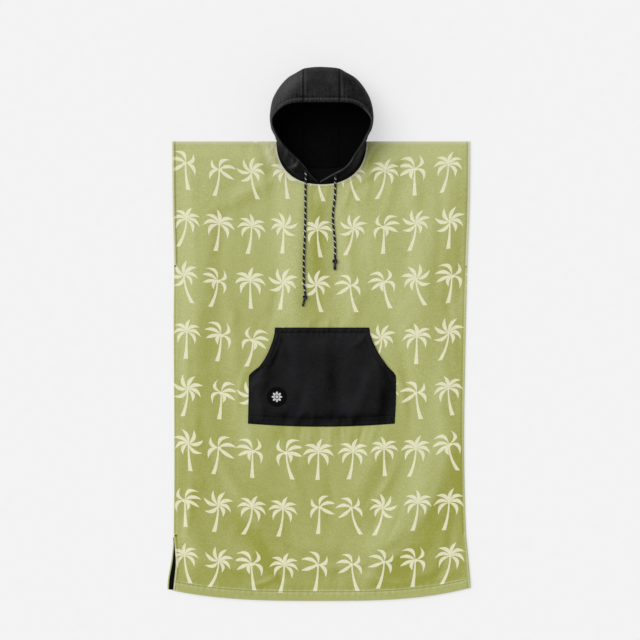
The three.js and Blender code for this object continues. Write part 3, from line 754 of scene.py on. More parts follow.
def painted_light(surface):
    """Painted light from a surface's slope: 1 where it faces the upper left, where the light comes from, 0
    where it faces away.
    """
    normal = grid_normals(surface)
    normal = normal * np.sign(normal[..., 2:])
    return np.clip(0.5 + PAINTED_LIGHT["gain"] * (PAINTED_LIGHT["right"] * normal[..., 0] + PAINTED_LIGHT["up"] * normal[..., 1]), 0, 1)


def pocket_bottom(x):
    share = (x / POCKET_BOTTOM["half_width"]) ** 2
    return lerp(POCKET_BOTTOM["middle"], POCKET_BOTTOM["corner"], share)


def pocket_lift(x, y):
    """How high the pocket stands off the front: most in its middle and its mouths, none at its seams."""
    side = from_sides(POCKET, "left", y, x)
    top = POCKET["y"][0] - y
    ends = POCKET_LIFT["from_ends"]
    seams = POCKET_LIFT["from_seams"]
    mouth = smooth(0, ends, top) * smooth(0, ends, y - POCKET_OPENING_END) * (1 - smooth(0, seams, side))
    middle = smooth(0, seams, side) * smooth(0, seams, top) * smooth(0, seams, y - pocket_bottom(x))
    return POCKET_LIFT["mouth"] * mouth + POCKET_LIFT["middle"] * middle


def pocket_shape(x, y, cloth, pocket_cloth, creasing):
    """The pocket's under and upper heights: hemmed at its mouths and top, sewn down round the rest."""
    under = front_shape(x, y, cloth, creasing)[1] + SEAM_GAP + pocket_lift(x, y)
    side = from_sides(POCKET, "left", y, x)
    top = POCKET["y"][0] - y
    low = y - pocket_bottom(x)
    mouth_end = smooth(POCKET_OPENING_END - 3, POCKET_OPENING_END + 3, y)
    start = POCKET_HEM["width"] - POCKET_HEM["step"]
    hem = np.maximum(mouth_end * (1 - smooth(start, POCKET_HEM["width"], side)), 0)
    hem = np.maximum(hem, 1 - smooth(start, POCKET_HEM["width"], top))
    sewn = groove(top - POCKET_HEM["stitch"], 0.5, 1.9)
    sewn += groove(side - POCKET_HEM["stitch"], 0.45, 1.9) * mouth_end
    sewn += groove(low - POCKET_BOTTOM["stitch"], 0.35, 1.9)
    inside = smooth(0, 12, side) * smooth(0, 8, top) * smooth(0, 6, low)
    lift = creasing * ridges(POCKET_CREASES, x, y) * inside
    ripple = 0.12 * np.sin(x / 2.2 + 2 * np.sin(x / 19)) * groove(low - 8, 1, 10)
    ripple += 0.2 * np.sin(x / 2.4 + 2 * np.sin(x / 15)) * groove(top - POCKET_HEM["stitch"], 1, 8)
    return under, under + pocket_cloth + POCKET_HEM["raise"] * hem - sewn + lift + ripple


def grid_quads(rows, columns, first=0):
    """The quads of a grid of points, row by row."""
    corner = first + np.arange(rows * columns).reshape(rows, columns)
    corners = [corner[:-1, :-1], corner[:-1, 1:], corner[1:, 1:], corner[1:, :-1]]
    return np.stack(corners, -1).reshape(-1, 4)


def shell(outer, inner):
    """A closed wall between two grids of points: both faces, and a rim of quads round the border."""
    rows, columns = outer.shape[:2]
    under = rows * columns
    corner = np.arange(under).reshape(rows, columns)
    border = np.concatenate([corner[0, :-1], corner[:-1, -1], corner[-1, :0:-1], corner[:0:-1, 0]])
    after = np.roll(border, -1)
    rim = np.stack([after, border, border + under, after + under], -1)
    inside = grid_quads(rows, columns, under)[:, ::-1]
    points = np.concatenate([outer.reshape(-1, 3), inner.reshape(-1, 3)])
    return points, np.concatenate([grid_quads(rows, columns), inside, rim])


def facing_out(points, faces):
    """The faces, turned round if the volume that they enclose comes out negative."""
    a, b, c = points[faces[:, 0]], points[faces[:, 1]], points[faces[:, 2]]
    d = points[faces[:, 3]]
    volume = (a * np.cross(b, c)).sum() + (a * np.cross(c, d)).sum()
    return faces if volume > 0 else faces[:, ::-1]


def grid_normals(grid):
    """Unit normals of a grid of points: the cross product of its slopes down and across."""
    normal = np.cross(np.gradient(grid, axis=0), np.gradient(grid, axis=1))
    return normal / np.maximum(np.linalg.norm(normal, axis=-1, keepdims=True), 1e-9)


def travelled(grid, axis):
    """How far each point of a grid lies along its row or column from the first point."""
    steps = np.linalg.norm(np.diff(grid, axis=axis), axis=-1)
    start = np.zeros_like(np.take(steps, [0], axis=axis))
    return np.concatenate([start, np.cumsum(steps, axis=axis)], axis=axis)


def shares(cells, edge=()):
    """Shares from 0 to 1 in even cells, with closer ones at the distances that edge gives."""
    return np.unique(np.concatenate([np.linspace(0, 1, cells + 1), edge, 1 - np.array(edge)]))


EDGE_MM = np.array([0.4, 1.2, 3.0, 5.0, 6.0, 7.0, 8.2, 10.0, 13.0])
HEM_MM = np.array([0.4, 1.2, 3.5, 7.0, 11.0, 15.0, 18.5, 20.5, 22.0, 23.0, 24.2, 25.5, 27.5])


def body_plan(neck, left, side_cells, neck_cells, row_cells):
    """The plan of a body panel: columns from its left edge to its right, rows from shoulder to hem.

    A column starts on the shoulder line or the neckline. Lower down the columns are evenly spaced.
    """
    edge_left = at_height(BODY, left, np.array(0.0))
    edge_right = at_height(BODY, "right", np.array(0.0))
    half = neck["half_width"]
    closer = 1 - (1 - np.linspace(0, 1, side_cells)) ** 1.5
    spans = lerp(16, -half - edge_left, closer)
    left_x = edge_left + np.concatenate([[0], EDGE_MM, spans])[:-1]
    spans = lerp(16, edge_right - half, closer)
    right_x = edge_right - np.concatenate([[0], EDGE_MM, spans])[:-1][::-1]
    arc_x, arc_y = neck_point(neck, np.linspace(180, 0, neck_cells + 1))
    top_x = np.concatenate([left_x, arc_x, right_x])
    top_y = np.concatenate([0 * left_x, arc_y, 0 * right_x])
    fixed = len(EDGE_MM) + 1
    even_x = top_x.copy()
    inner = len(top_x) - 2 * fixed
    even_x[fixed:-fixed] = np.linspace(edge_left + 16, edge_right - 16, inner)
    above_hem = HEM_MM[-1]
    down = np.concatenate([[0, 0.0004, 0.0012, 0.003], np.linspace(0.005, 1, row_cells)])
    down = np.concatenate([down, np.ones(len(HEM_MM))])[:, None]
    below = np.concatenate([np.zeros(row_cells + 4), above_hem - HEM_MM[:-1][::-1], [above_hem]])[:, None]
    across = lerp(top_x, even_x, smooth(0, 0.45, down))

    def height(x):
        return lerp(top_y, hem_y(x) + above_hem, down) - below

    y = height(across)
    low = at_height(BODY, left, y)
    x = lerp(low, at_height(BODY, "right", y), (across - edge_left) / (edge_right - edge_left))
    return x, height(x)


def body_fullness(x, y, left, neck):
    """How full a body panel's wall is: rounded at its sides, shoulders, neckline and hem."""
    side = rounding(from_sides(BODY, left, y, x), 1.4)
    beyond_neck = np.maximum(0, (neck_reach(neck, x, np.minimum(y, 0)) - 1) * neck["depth"])
    top = rounding(np.minimum(np.where(np.abs(x) > neck["half_width"], -y, 1e3), 1e3), 1.4)
    return side * top * rounding(beyond_neck, 1.4) * rounding(y - hem_y(x), 1.6)


def heights_to_walls(x, y, under, top, full):
    """Two grids of points whose gap is narrowed about its middle by the fullness."""
    middle = (under + top) / 2
    half = (top - under) / 2 * full
    return np.stack([x, y, middle + half], -1), np.stack([x, y, middle - half], -1)


def hood_ends(edge, cloth):
    """Where the sections of a side panel end: down the strip's seam, then on the necklines."""
    nape = neck_angle(BACK_NECK, STRIP_HALF_WIDTH + SEAM_GAP / 2)
    inset = NECK_GAP + NECK_CORNER["inset"] * np.exp(-(((edge - 2) / NECK_CORNER["reach"]) ** 2))
    nape_y = neck_point(BACK_NECK, nape, NECK_GAP)[1]
    seam = np.full_like(edge, STRIP_HALF_WIDTH + SEAM_GAP / 2)
    back_x, back_y = neck_point(BACK_NECK, nape * (2 - np.clip(edge, 1, 2)), inset)
    front_x, front_y = neck_point(FRONT_NECK, CHIN_ANGLE * np.maximum(0, edge - 2), inset)
    x = np.where(edge <= 1, seam, np.where(edge <= 2, back_x, front_x))
    y = np.where(edge <= 1, lerp(STRIP_TURN, nape_y, edge), np.where(edge <= 2, back_y, front_y))
    climb = smooth(CLIMB_TO_FRONT, 2, edge)
    return np.stack([x, y, cloth / 2 + front_under(x, y, cloth) * climb], -1)


def hood_sections(rim, out, end, edge, over_cells, under_cells):
    """Sections of the hood, one a row: a superellipse from the rim to the widest point, a quarter
    turn under it, then straight in to the end on the neckline."""
    belly = lerp(BELLY["side"], BELLY["chin"], smooth(BELLY["from"], BELLY["to"], edge))[:, None]
    angle = np.linspace(0, 1, over_cells + 1)[None, :] ** 1.25 * np.pi / 2
    away = np.sin(angle) ** (2 / belly)
    down = np.maximum(np.cos(angle), 0) ** (2 / belly)
    share = np.stack([away, away, 1 - down], -1)
    over = rim[:, None, :] + (out - rim)[:, None, :] * share
    run = np.linalg.norm((end - out)[:, :2], axis=-1)
    curl = (np.minimum(CURL["share"] * (out - end)[:, 2], CURL["limit"] * run) / run)[:, None]
    turn = 2 * np.linspace(0, 1, under_cells + 1)[None, 1:]
    angle = np.minimum(1, turn) * np.pi / 2
    inward = np.where(turn <= 1, curl * (1 - np.cos(angle)), lerp(curl, 1, turn - 1))
    share = np.stack([inward, inward, np.sin(angle) + 0 * curl], -1)
    under = out[:, None, :] + (end - out)[:, None, :] * share
    return np.concatenate([over, under], 1)


def inside_neck(points):
    """The points, with those that would touch the body moved back inside the neckline."""
    x, y, z = np.moveaxis(points, -1, 0).copy()
    back = z < 2.2 + SEAM_GAP
    half = np.where(back, BACK_NECK["half_width"], FRONT_NECK["half_width"])
    low = np.minimum(0, y)
    reach = np.where(back, neck_reach(BACK_NECK, x, low), neck_reach(FRONT_NECK, x, low))
    limit = 1 - NECK_GAP / half
    pull = np.where((y <= NECK_CORNER["above"]) & (reach > limit), limit / np.maximum(reach, 1e-6), 1)
    return np.stack([x * pull, np.where(y < 0, y * pull, y), z], -1)


def hood_walls(grid, edges, seam, tunnel_share, creases):
    """Both faces round a grid of the hood, with the tunnel, its gathers, stitching and creases.

    edges says which border rows are seams whose cloth rounds off: the first row, and the last.
    """
    normal = grid_normals(grid)
    normal[seam, 0] = 0
    normal /= np.maximum(np.linalg.norm(normal, axis=-1, keepdims=True), 1e-9)
    rim = travelled(grid, 1)
    neck = rim[:, -1:] - rim
    along = travelled(grid, 0)
    first, last = along, along[-1:] - along
    tunnel = 1 - smooth(TUNNEL["width"] - TUNNEL["step"], TUNNEL["width"] + TUNNEL["step"], rim)
    half = 1.1 + TUNNEL["raise"] / 2 * tunnel * tunnel_share
    full = rounding(rim, 2.4) * rounding(neck, 1.4)
    full = full * (rounding(first, 2) if edges[0] else 1) * (rounding(last, 2) if edges[1] else 1)
    wave = np.sin(2 * np.pi * along / GATHERS["pitch"] + 1.7 * np.sin(2 * np.pi * along / GATHERS["drift"]))
    gathers = GATHERS["height"] * wave * np.exp(-rim / GATHERS["reach"]) * smooth(0, 3, rim)
    rest = creases * smooth(0, 8, rim) * smooth(0, 25, neck)
    held = smooth(0, 9, first) if edges[0] else 1
    held = held * (smooth(0, 9, last) if edges[1] else 1)
    sewn = groove(rim - TUNNEL["width"], 0.8, 1.8)
    outer = grid + normal * (half * full - sewn + (gathers + rest) * held)[..., None]
    inner = grid - normal * (half * full - (gathers + rest) * held)[..., None]
    return outer, inner


def hood_side(mirror, creases, cloth):
    """A side panel of the hood, worked out for x > 0: mirror is 1 for the right and -1 for the left."""
    rows = RIGHT_SECTIONS if mirror > 0 else LEFT_SECTIONS
    row = np.linspace(0, len(rows["edge"]) - 1, 18 * 8 + 1)
    read = {name: through(values, row) for name, values in rows.items()}
    rim = np.stack([read["rim_x"], read["rim_y"], read["rim_z"]], -1)
    out = np.stack([read["out_x"], read["out_y"], read["out_z"]], -1)
    edge = read["edge"]
    grid = hood_sections(rim, out, hood_ends(edge, cloth), edge, 52, 40)
    share = np.linspace(0, 1, grid.shape[1])
    seam = np.zeros(grid.shape[:2], bool)
    seam[0] = True
    seam[:, -1] = edge <= 1
    thin = lerp(1, TUNNEL["thinnest"], smooth(TUNNEL["thin_from"], TUNNEL["thin_to"], edge))[:, None]
    along = (row[:, None, None] - creases["section"]) / creases["width"]
    across = (share[None, :, None] - creases["share"]) / creases["length"]
    bumps = (creases["height"] * np.exp(-(along**2) - across**2)).sum(-1)
    walls = hood_walls(grid, (True, False), seam, thin, bumps)
    return [inside_neck(face) * [mirror, 1, 1] for face in walls]


def hood_strip(cloth):
    """The strip over the crown: a section from the rim over and under to the nape, carried across."""
    edge_x = STRIP_HALF_WIDTH + STRIP_TUCK
    x = np.linspace(-edge_x, edge_x, 37)
    bulge = STRIP_CROWN * (1 - (x / STRIP_HALF_WIDTH) ** 2)
    start = {name: values[0] for name, values in LEFT_SECTIONS.items()}
    rim = np.stack([x, 0 * x + start["rim_y"], 0 * x + start["rim_z"]], -1)
    out = np.stack([x, start["out_y"] + bulge, 0 * x + start["out_z"]], -1)
    turn = np.stack([x, 0 * x + STRIP_TURN, 0 * x + cloth / 2], -1)
    over = hood_sections(rim, out, turn, 0 * x, 52, 40)
    nape_y = neck_point(BACK_NECK, neck_angle(BACK_NECK, x), NECK_GAP)[1]
    share = np.linspace(0, 1, 41)[None, 1:]
    floor_y = lerp(STRIP_TURN, nape_y[:, None], share)
    floor = np.stack([x[:, None] + 0 * share, floor_y, 0 * floor_y + cloth / 2], -1)
    grid = np.concatenate([over, floor], 1)
    seam = np.ones(grid.shape[:2], bool)
    across = x[:, None] / STRIP_HALF_WIDTH
    reach = np.linspace(0, 1, grid.shape[1])[None, :]
    soft = 0.9 * np.exp(-(((across + 0.35) / 0.3) ** 2) - ((reach - 0.2) / 0.12) ** 2)
    soft = soft - 0.8 * np.exp(-(((across - 0.3) / 0.28) ** 2) - ((reach - 0.27) / 0.12) ** 2)
    return hood_walls(grid, (True, True), seam, 1, soft)


def line_of(rows, count):
    """Points along a route: a cubic through its rows, at even row numbers."""
    row = np.linspace(0, len(rows["x"]) - 1, count)
    return np.stack([through(rows[axis], row) for axis in "xyz"], -1)


def even_line(line, pitch):
    """A line's points moved to even distances along it."""
    reached = travelled(line[None], 1)[0]
    places = np.linspace(0, reached[-1], max(2, int(round(reached[-1] / pitch)) + 1))
    return np.stack([np.interp(places, reached, line[:, axis]) for axis in range(3)], -1)


def frames_along(line):
    """Unit vectors along a line, across it and up from it, against a nearly upright reference."""
    ahead = np.gradient(line, axis=0)
    ahead /= np.linalg.norm(ahead, axis=-1, keepdims=True)
    across = np.cross(ahead, [0.13, 0.07, 1.0])
    across /= np.linalg.norm(across, axis=-1, keepdims=True)
    return ahead, across, np.cross(across, ahead)


def tube(line, radius, sides, flatness=1.0):
    """A circle carried along a line: point + radius * (across * cos a + up * sin a), closed at both
    ends by rings that shrink. Its UV map holds the turn and the distance along in millimetres."""
    _, across, up = frames_along(line)
    angle = np.linspace(0, 2 * np.pi, sides, endpoint=False)
    circle = across[:, None] * np.cos(angle)[:, None] + up[:, None] * np.sin(angle)[:, None] * flatness
    rings = line[:, None] + radius[:, None, None] * circle
    count = len(line)
    corner = np.arange(count * sides).reshape(count, sides)
    following = np.roll(corner, -1, 1)
    quads = np.stack([corner[:-1], following[:-1], following[1:], corner[1:]], -1).reshape(-1, 4)
    turn = np.arange(sides) / sides
    reach = travelled(line[None], 1)[0]
    u0, v0 = np.meshgrid(turn, reach[:-1])
    u1, v1 = np.meshgrid(turn + 1 / sides, reach[1:])
    uv = np.stack([u0, v0, u1, v0, u1, v1, u0, v1], -1).reshape(-1, 2)
    caps = [corner[0][::-1], corner[-1]]
    return rings.reshape(-1, 3), quads, uv, caps


# What is packed says where the shoulder line's middle lies: the patch and the front's upper edge do
PATCH_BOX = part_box("pocket_patch")
FRONT_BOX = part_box("front_panel")
MIDDLE_M = np.array([(PATCH_BOX[0].x + PATCH_BOX[1].x) / 2 - PATCH["x"] / 1000, FRONT_BOX[1].y, 0])


def metres(points):
    """Millimetres from the middle of the shoulder line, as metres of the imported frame."""
    return np.asarray(points) / 1000 + MIDDLE_M


def make_piece(name, points, quads, finish, nodes=(), uv=None, caps=(), tags=None, inside=None):
    """A piece from arrays: its mesh, UV map, attributes, material, and the CAD nodes that it replaces.

    inside is a second material and which of the faces it covers."""
    mesh = bpy.data.meshes.new(name)
    corners = np.concatenate([quads.ravel(), *[np.asarray(cap) for cap in caps]]).astype(np.int32)
    sizes = np.concatenate([np.full(len(quads), 4), [len(cap) for cap in caps]]).astype(np.int32)
    mesh.vertices.add(len(points))
    mesh.vertices.foreach_set("co", metres(points).astype(np.float32).ravel())
    mesh.loops.add(len(corners))
    mesh.loops.foreach_set("vertex_index", corners)
    mesh.polygons.add(len(sizes))
    mesh.polygons.foreach_set("loop_start", np.concatenate([[0], np.cumsum(sizes)[:-1]]).astype(np.int32))
    mesh.polygons.foreach_set("loop_total", sizes)
    mesh.polygons.foreach_set("use_smooth", np.ones(len(sizes), bool))
    mesh.update(calc_edges=True)
    if uv is None:
        uv = points[corners][:, :2]
    loops = np.zeros((len(corners), 2))
    loops[: len(uv)] = uv
    mesh.uv_layers.new(name="cloth").data.foreach_set("uv", (loops / 1000).astype(np.float32).ravel())
    for tag, values in (tags or {}).items():
        attribute = mesh.attributes.new(tag, "FLOAT", "POINT")
        attribute.data.foreach_set("value", np.asarray(values, np.float32).ravel())
    mesh.materials.append(finish)
    if inside:
        mesh.materials.append(inside[0])
        mesh.polygons.foreach_set("material_index", inside[1].astype(np.int32))
    mesh.validate()
    made = bpy.data.objects.new(name, mesh)
    bpy.context.scene.collection.objects.link(made)
    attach(made, "root")
    if nodes:
        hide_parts(*nodes)
    return made


def cloth_piece(name, outer, inner, finish, tags, nodes, second_finish=None, second_mask=None):
    """A closed wall of cloth from its two faces, which stands for these CAD nodes.

    lining is a second material. It covers the wall wherever lined marks the points of the grids, or,
    without lined, everything but the outer face."""
    points, quads = shell(outer, inner)
    which = np.arange(len(quads)) >= (outer.shape[0] - 1) * (outer.shape[1] - 1)
    if second_mask is not None:
        which = second_mask.ravel()[quads % second_mask.size].all(1)
    inside = (second_finish, which) if second_finish else None
    faces = facing_out(points, quads)
    return make_piece(name, points, faces, finish, nodes, tags=tags, inside=inside)


def stitches(line, up, long=2.6, wide=0.75, high=0.45, pitch=3.4):
    """Stitches along a line: at each pitch a small six-pointed grain, long along the line."""
    reached = travelled(line[None], 1)[0]
    places = np.arange(pitch / 2, reached[-1], pitch)
    spot = np.stack([np.interp(places, reached, line[:, axis]) for axis in range(3)], -1)
    ahead = np.stack([np.interp(places, reached, np.gradient(line[:, axis])) for axis in range(3)], -1)
    ahead /= np.maximum(np.linalg.norm(ahead, axis=-1, keepdims=True), 1e-9)
    rise = np.stack([np.interp(places, reached, up[:, axis]) for axis in range(3)], -1)
    across = np.cross(ahead, rise)
    across /= np.maximum(np.linalg.norm(across, axis=-1, keepdims=True), 1e-9)
    rise = np.cross(across, ahead)
    tips = [ahead * long / 2, across * wide / 2, -ahead * long / 2, -across * wide / 2]
    points = np.stack([spot + tip for tip in tips] + [spot + rise * high, spot - rise * high], 1)
    corner = np.arange(len(spot))[:, None, None] * 6
    upper = [[0, 1, 4], [1, 2, 4], [2, 3, 4], [3, 0, 4], [1, 0, 5], [2, 1, 5], [3, 2, 5], [0, 3, 5]]
    return points.reshape(-1, 3), (corner + np.array(upper)).reshape(-1, 3)


class Wire:
    """A node's output in a material, so that shader maths reads as an expression on values."""

    def __init__(self, finish, socket):
        self.finish = finish
        self.socket = socket

    def maths(self, operation, *values):
        """One Math node: the operation on these values, numbers or wires."""
        made = self.finish.node("Math", {"operation": operation}, dict(enumerate(values)))
        return made

    def __add__(self, other):
        return self.maths("ADD", self, other)

    def __radd__(self, other):
        return self.maths("ADD", other, self)

    def __sub__(self, other):
        return self.maths("SUBTRACT", self, other)

    def __rsub__(self, other):
        return self.maths("SUBTRACT", other, self)

    def __mul__(self, other):
        return self.maths("MULTIPLY", self, other)

    def __rmul__(self, other):
        return self.maths("MULTIPLY", other, self)

    def __truediv__(self, other):
        return self.maths("DIVIDE", self, other)

    def __pow__(self, other):
        return self.maths("POWER", self, other)

    def __abs__(self):
        return self.maths("ABSOLUTE", self)

    def __gt__(self, other):
        return self.maths("GREATER_THAN", self, other)

    def __lt__(self, other):
        return self.maths("LESS_THAN", self, other)

    def floor(self):
        return self.maths("FLOOR", self)

    def fraction(self):
        return self.maths("FRACT", self)

    def larger(self, other):
        return self.maths("MAXIMUM", self, other)

    def smaller(self, other):
        return self.maths("MINIMUM", self, other)

    def clamped(self):
        return self.larger(0).smaller(1)

    def step(self, start, end):
        """A soft step from 0 at start to 1 at end."""
        sizes = {0: self, 1: start, 2: end, 3: 0, 4: 1}
        return self.finish.node("MapRange", {"interpolation_type": "SMOOTHSTEP"}, sizes)


class Finish:
    """A material's node tree, and the calls that its recipe is written in."""

    def __init__(self, name, **constants):
        self.material = bpy.data.materials.new(name)
        self.material.use_nodes = True
        self.tree = self.material.node_tree
        self.shader = self.tree.nodes["Principled BSDF"]
        for socket, value in constants.items():
            self.shader.inputs[socket.replace("_", " ")].default_value = value

    def node(self, kind, settings=None, inputs=None, output=0):
        """A node of this type with its settings made first, then its sockets' values or links."""
        made = self.tree.nodes.new("ShaderNode" + kind)
        for name, value in (settings or {}).items():
            setattr(made, name, value)
        for name, value in (inputs or {}).items():
            if isinstance(value, Wire):
                self.tree.links.new(value.socket, made.inputs[name])
            else:
                made.inputs[name].default_value = value
        return Wire(self, made.outputs[output])

    def feed(self, socket, value):
        """Links a value to one of the shader's own sockets."""
        self.tree.links.new(value.socket, self.shader.inputs[socket])

    def place(self):
        """The piece's Object coordinates, in metres."""
        return self.node("TexCoord", output="Object")

    def noise(self, vector, scale, detail=2.0, roughness=0.5):
        sizes = {"Vector": vector, "Scale": scale, "Detail": detail, "Roughness": roughness}
        return self.node("TexNoise", None, sizes)

    def tag(self, name):
        """A float attribute of the piece."""
        return self.node("Attribute", {"attribute_name": name}, output="Fac")

    def uv(self):
        """The piece's UV map as two values, in millimetres."""
        return [part * 1000 for part in self.parts(self.node("UVMap", {"uv_map": "cloth"}))[:2]]

    def parts(self, vector):
        split = self.node("SeparateXYZ", None, {0: vector})
        outputs = split.socket.node.outputs
        return [Wire(self, outputs[axis]) for axis in range(3)]

    def lots(self, first, second, seed):
        """Three chance values from 0 to 1 for a cell of the print."""
        cell = self.node("CombineXYZ", None, {0: first, 1: second, 2: seed})
        return self.parts(self.node("TexWhiteNoise", {"noise_dimensions": "3D"}, {0: cell}, "Color"))

    def choice(self, lot, kinds, scales):
        """One of several equally likely rows of three numbers, picked by a lot from 0 to 1."""
        made = self.node("ValToRGB", None, {0: lot}, "Color")
        ramp = made.socket.node.color_ramp
        ramp.interpolation = "CONSTANT"
        for index, kind in enumerate(kinds):
            place = index / len(kinds)
            stop = ramp.elements[index] if index < 2 else ramp.elements.new(place)
            stop.position = place
            stop.color = (*[value / scale + 0.5 for value, scale in zip(kind, scales)], 1)
        return [(part - 0.5) * scale for part, scale in zip(self.parts(made), scales)]

    def blend(self, share, first, second, how="MIX"):
        """A Mix node on colours, each a wire or three numbers."""
        colours = [c if isinstance(c, Wire) else (*c, 1) for c in (first, second)]
        return self.node(
            "Mix",
            {"data_type": "RGBA", "blend_type": how},
            {0: share, 6: colours[0], 7: colours[1]},
            output=2,
        )

    def bump(self, height, distance, strength=1.0):
        sizes = {"Height": height, "Distance": distance, "Strength": strength}
        return self.node("Bump", None, sizes, output="Normal")

    def shaded_colour(self, colour, share):
        """Links a colour, darkened to a share of itself, to the shader."""
        grey = self.node("CombineXYZ", None, {0: share, 1: share, 2: share})
        self.feed("Base Color", self.blend(1.0, colour, grey, "MULTIPLY"))

    def pile(self, distance):
        """Short looped pile: fine grain over small tufts, as a height and as a bump."""
        place = self.place()
        grain = self.noise(place, 1500, 2, 0.6)
        tufts = self.noise(place, 420, 3, 0.6)
        height = grain * 0.45 + tufts * 0.55
        self.feed("Normal", self.bump(height, distance, 0.9))
        return height


def palm_print(finish):
    """How much of the print's cream shows at a point: palms in rows and columns.

    Each palm has a trunk, a band that widens to its foot and leans by chance, and seven fronds. A
    frond is a crescent from the crown to its tip: at the share q of the way, 4 * q * (1 - q) gives
    both how far it bows aside and how wide it is. Chance picks each palm's kind, side, tilt and size.
    """
    u, v = finish.uv()
    share = (u / PRINT_SAG["half_width"]) * (u / PRINT_SAG["half_width"])
    v = v + (1 - share).larger(0) * PRINT_SAG["most"]
    column = ((u - PRINT["left"]) / PRINT["across"]).floor()
    row = ((PRINT["top"] - v) / PRINT["down"]).floor()
    lots = finish.lots(column, row, 0.37)
    more = finish.lots(row, column, 5.81)
    side = (lots[0] > 0.5) * 2 - 1
    x = (u - PRINT["left"] - (column + 0.5) * PRINT["across"] + (more[1] - 0.5) * 11) * side
    y = v - PRINT["top"] + row * PRINT["down"] + PRINT["crown"] + (more[2] - 0.5) * 9
    tilt = (lots[1] - 0.5) * 0.44
    size = 0.95 + more[0] * 0.13
    crown_x = (x + y * tilt) / size
    crown_y = (y - x * tilt) / size
    inside = 2.3 - (crown_x * crown_x + crown_y * crown_y) ** 0.5
    for kinds in zip(*PALMS):
        angle, length, bow = finish.choice(lots[2], kinds, FROND_SCALES)
        cosine = (angle * DEGREE).maths("COSINE", angle * DEGREE)
        sine = (angle * DEGREE).maths("SINE", angle * DEGREE)
        share = (crown_x * cosine + crown_y * sine) / length
        aside = crown_y * cosine - crown_x * sine
        arch = share * (1 - share) * 4
        inside = inside.larger(arch * FROND_HALF_WIDTH - abs(aside - arch * bow))
    down = (y / -PRINT["trunk"]).larger(0)
    lean = (lots[1] - 0.5) * TRUNK["lean"]
    wide = down * down * (TRUNK["foot"] - TRUNK["top"]) + TRUNK["top"]
    trunk = (wide - abs(x - lean * down * down)).smaller(1.5 - y).smaller(y + PRINT["trunk"])
    fuzz = (finish.noise(finish.place(), 900, 1) - 0.5) * 1.3
    return ((inside.larger(trunk) + fuzz) / 1.1 + 0.5).clamped()


def printed_finish(colours, cloth, name="print_towelling"):
    """Green towelling with cream palms: the green is painted paler where the cloth faces the light and
    darker where it faces away, paler on the wrong side and at the edges, and has painted shade in the seams."""
    finish = Finish(name, Roughness=0.92, Sheen_Weight=0.35, Sheen_Roughness=0.45)
    finish.shader.inputs["Specular IOR Level"].default_value = 0.2
    finish.shader.inputs["Sheen Tint"].default_value = (0.95, 1.0, 0.82, 1)
    pile = finish.pile(cloth.pile)
    cream = tuple(colours.cream)
    brushed = finish.noise(finish.place(), 14, 4, 0.65) * 0.5 + finish.noise(finish.place(), 60, 3) * 0.5
    flecked = finish.noise(finish.place(), 260, 2, 0.7)
    # Painted light: the lit and the shaded green are mixed by how the cloth faces the light, with random
    # mottling
    lit = finish.tag("painted_light") + (brushed - 0.5) * 0.55 + (flecked - 0.5) * 0.7
    ground = finish.blend(lit.clamped(), tuple(colours.shaded_green), tuple(colours.lit_green))
    shown = palm_print(finish) * (0.97 - finish.tag("wrong_side") * 0.86)
    printed = finish.blend(shown, ground, cream)
    # Pale at the edges and on the wrong side, and painted highlights on the creases by the neck
    pale = finish.blend(finish.tag("pale"), printed, (0.66, 0.64, 0.47))
    grain = pile.step(0.34, 0.66) * 0.3 + 0.83
    finish.shaded_colour(pale, grain * (1 - finish.tag("shade") * 0.97))
    return finish.material


def dark_finish(name, colour, cloth, sheen, contrast, palest):
    """Near black towelling, painted paler where it faces the upper left, with painted highlights and painted
    shade where its tags mark them.

    palest is how many times the colour it is at its palest."""
    finish = Finish(name, Roughness=0.9, Sheen_Weight=sheen, Sheen_Roughness=0.4)
    finish.shader.inputs["Specular IOR Level"].default_value = 0.08
    finish.shader.inputs["Sheen Tint"].default_value = (0.9, 0.92, 1.0, 1)
    pile = finish.pile(cloth.pile)
    brushed = finish.noise(finish.place(), 34, 4, 0.65) * 0.6 + finish.noise(finish.place(), 170, 2) * 0.4
    colour = tuple(colour)
    # Painted light: paler where the cloth faces the light, with random mottling
    lit = (finish.tag("painted_light") * contrast + (brushed - 0.5) * 1.1 + (pile - 0.5) * 0.5 + 0.1).clamped()
    mottled = finish.blend(lit, [c * 0.25 for c in colour], [c * palest for c in colour])
    # Painted highlights where the pale tag is set
    pale = finish.blend(finish.tag("pale"), mottled, [c * 8 for c in colour])
    finish.shaded_colour(pale, 1 - finish.tag("shade"))
    return finish.material


def cord_finish(name, colours, pitch, flecked=1.0):
    """A black braid: fine diamonds of crossing strands, with one pale strand that winds round it."""
    finish = Finish(name, Roughness=0.7)
    finish.shader.inputs["Specular IOR Level"].default_value = 0.35
    turn, reach = finish.uv()
    wound = (reach / (pitch * 1000) - turn).fraction()
    fleck = (1 - abs(wound - 0.5).step(0.06, 0.1)) * flecked
    right = (reach / 3.0 + turn * 6).fraction()
    left = (reach / 3.0 - turn * 6).fraction()
    strands = (1 - abs(right - 0.5) * 2).larger(1 - abs(left - 0.5) * 2)
    broken = finish.noise(finish.place(), 900, 1).step(0.3, 0.45)
    colour = finish.blend(fleck * broken, tuple(colours.cord), tuple(colours.fleck))
    # Painted shade: the braid is darker between its strands than on them
    grey = strands * 0.5 + 0.6
    finish.shaded_colour(colour, grey)
    finish.feed("Normal", finish.bump(strands, 0.0006, 0.8))
    return finish.material


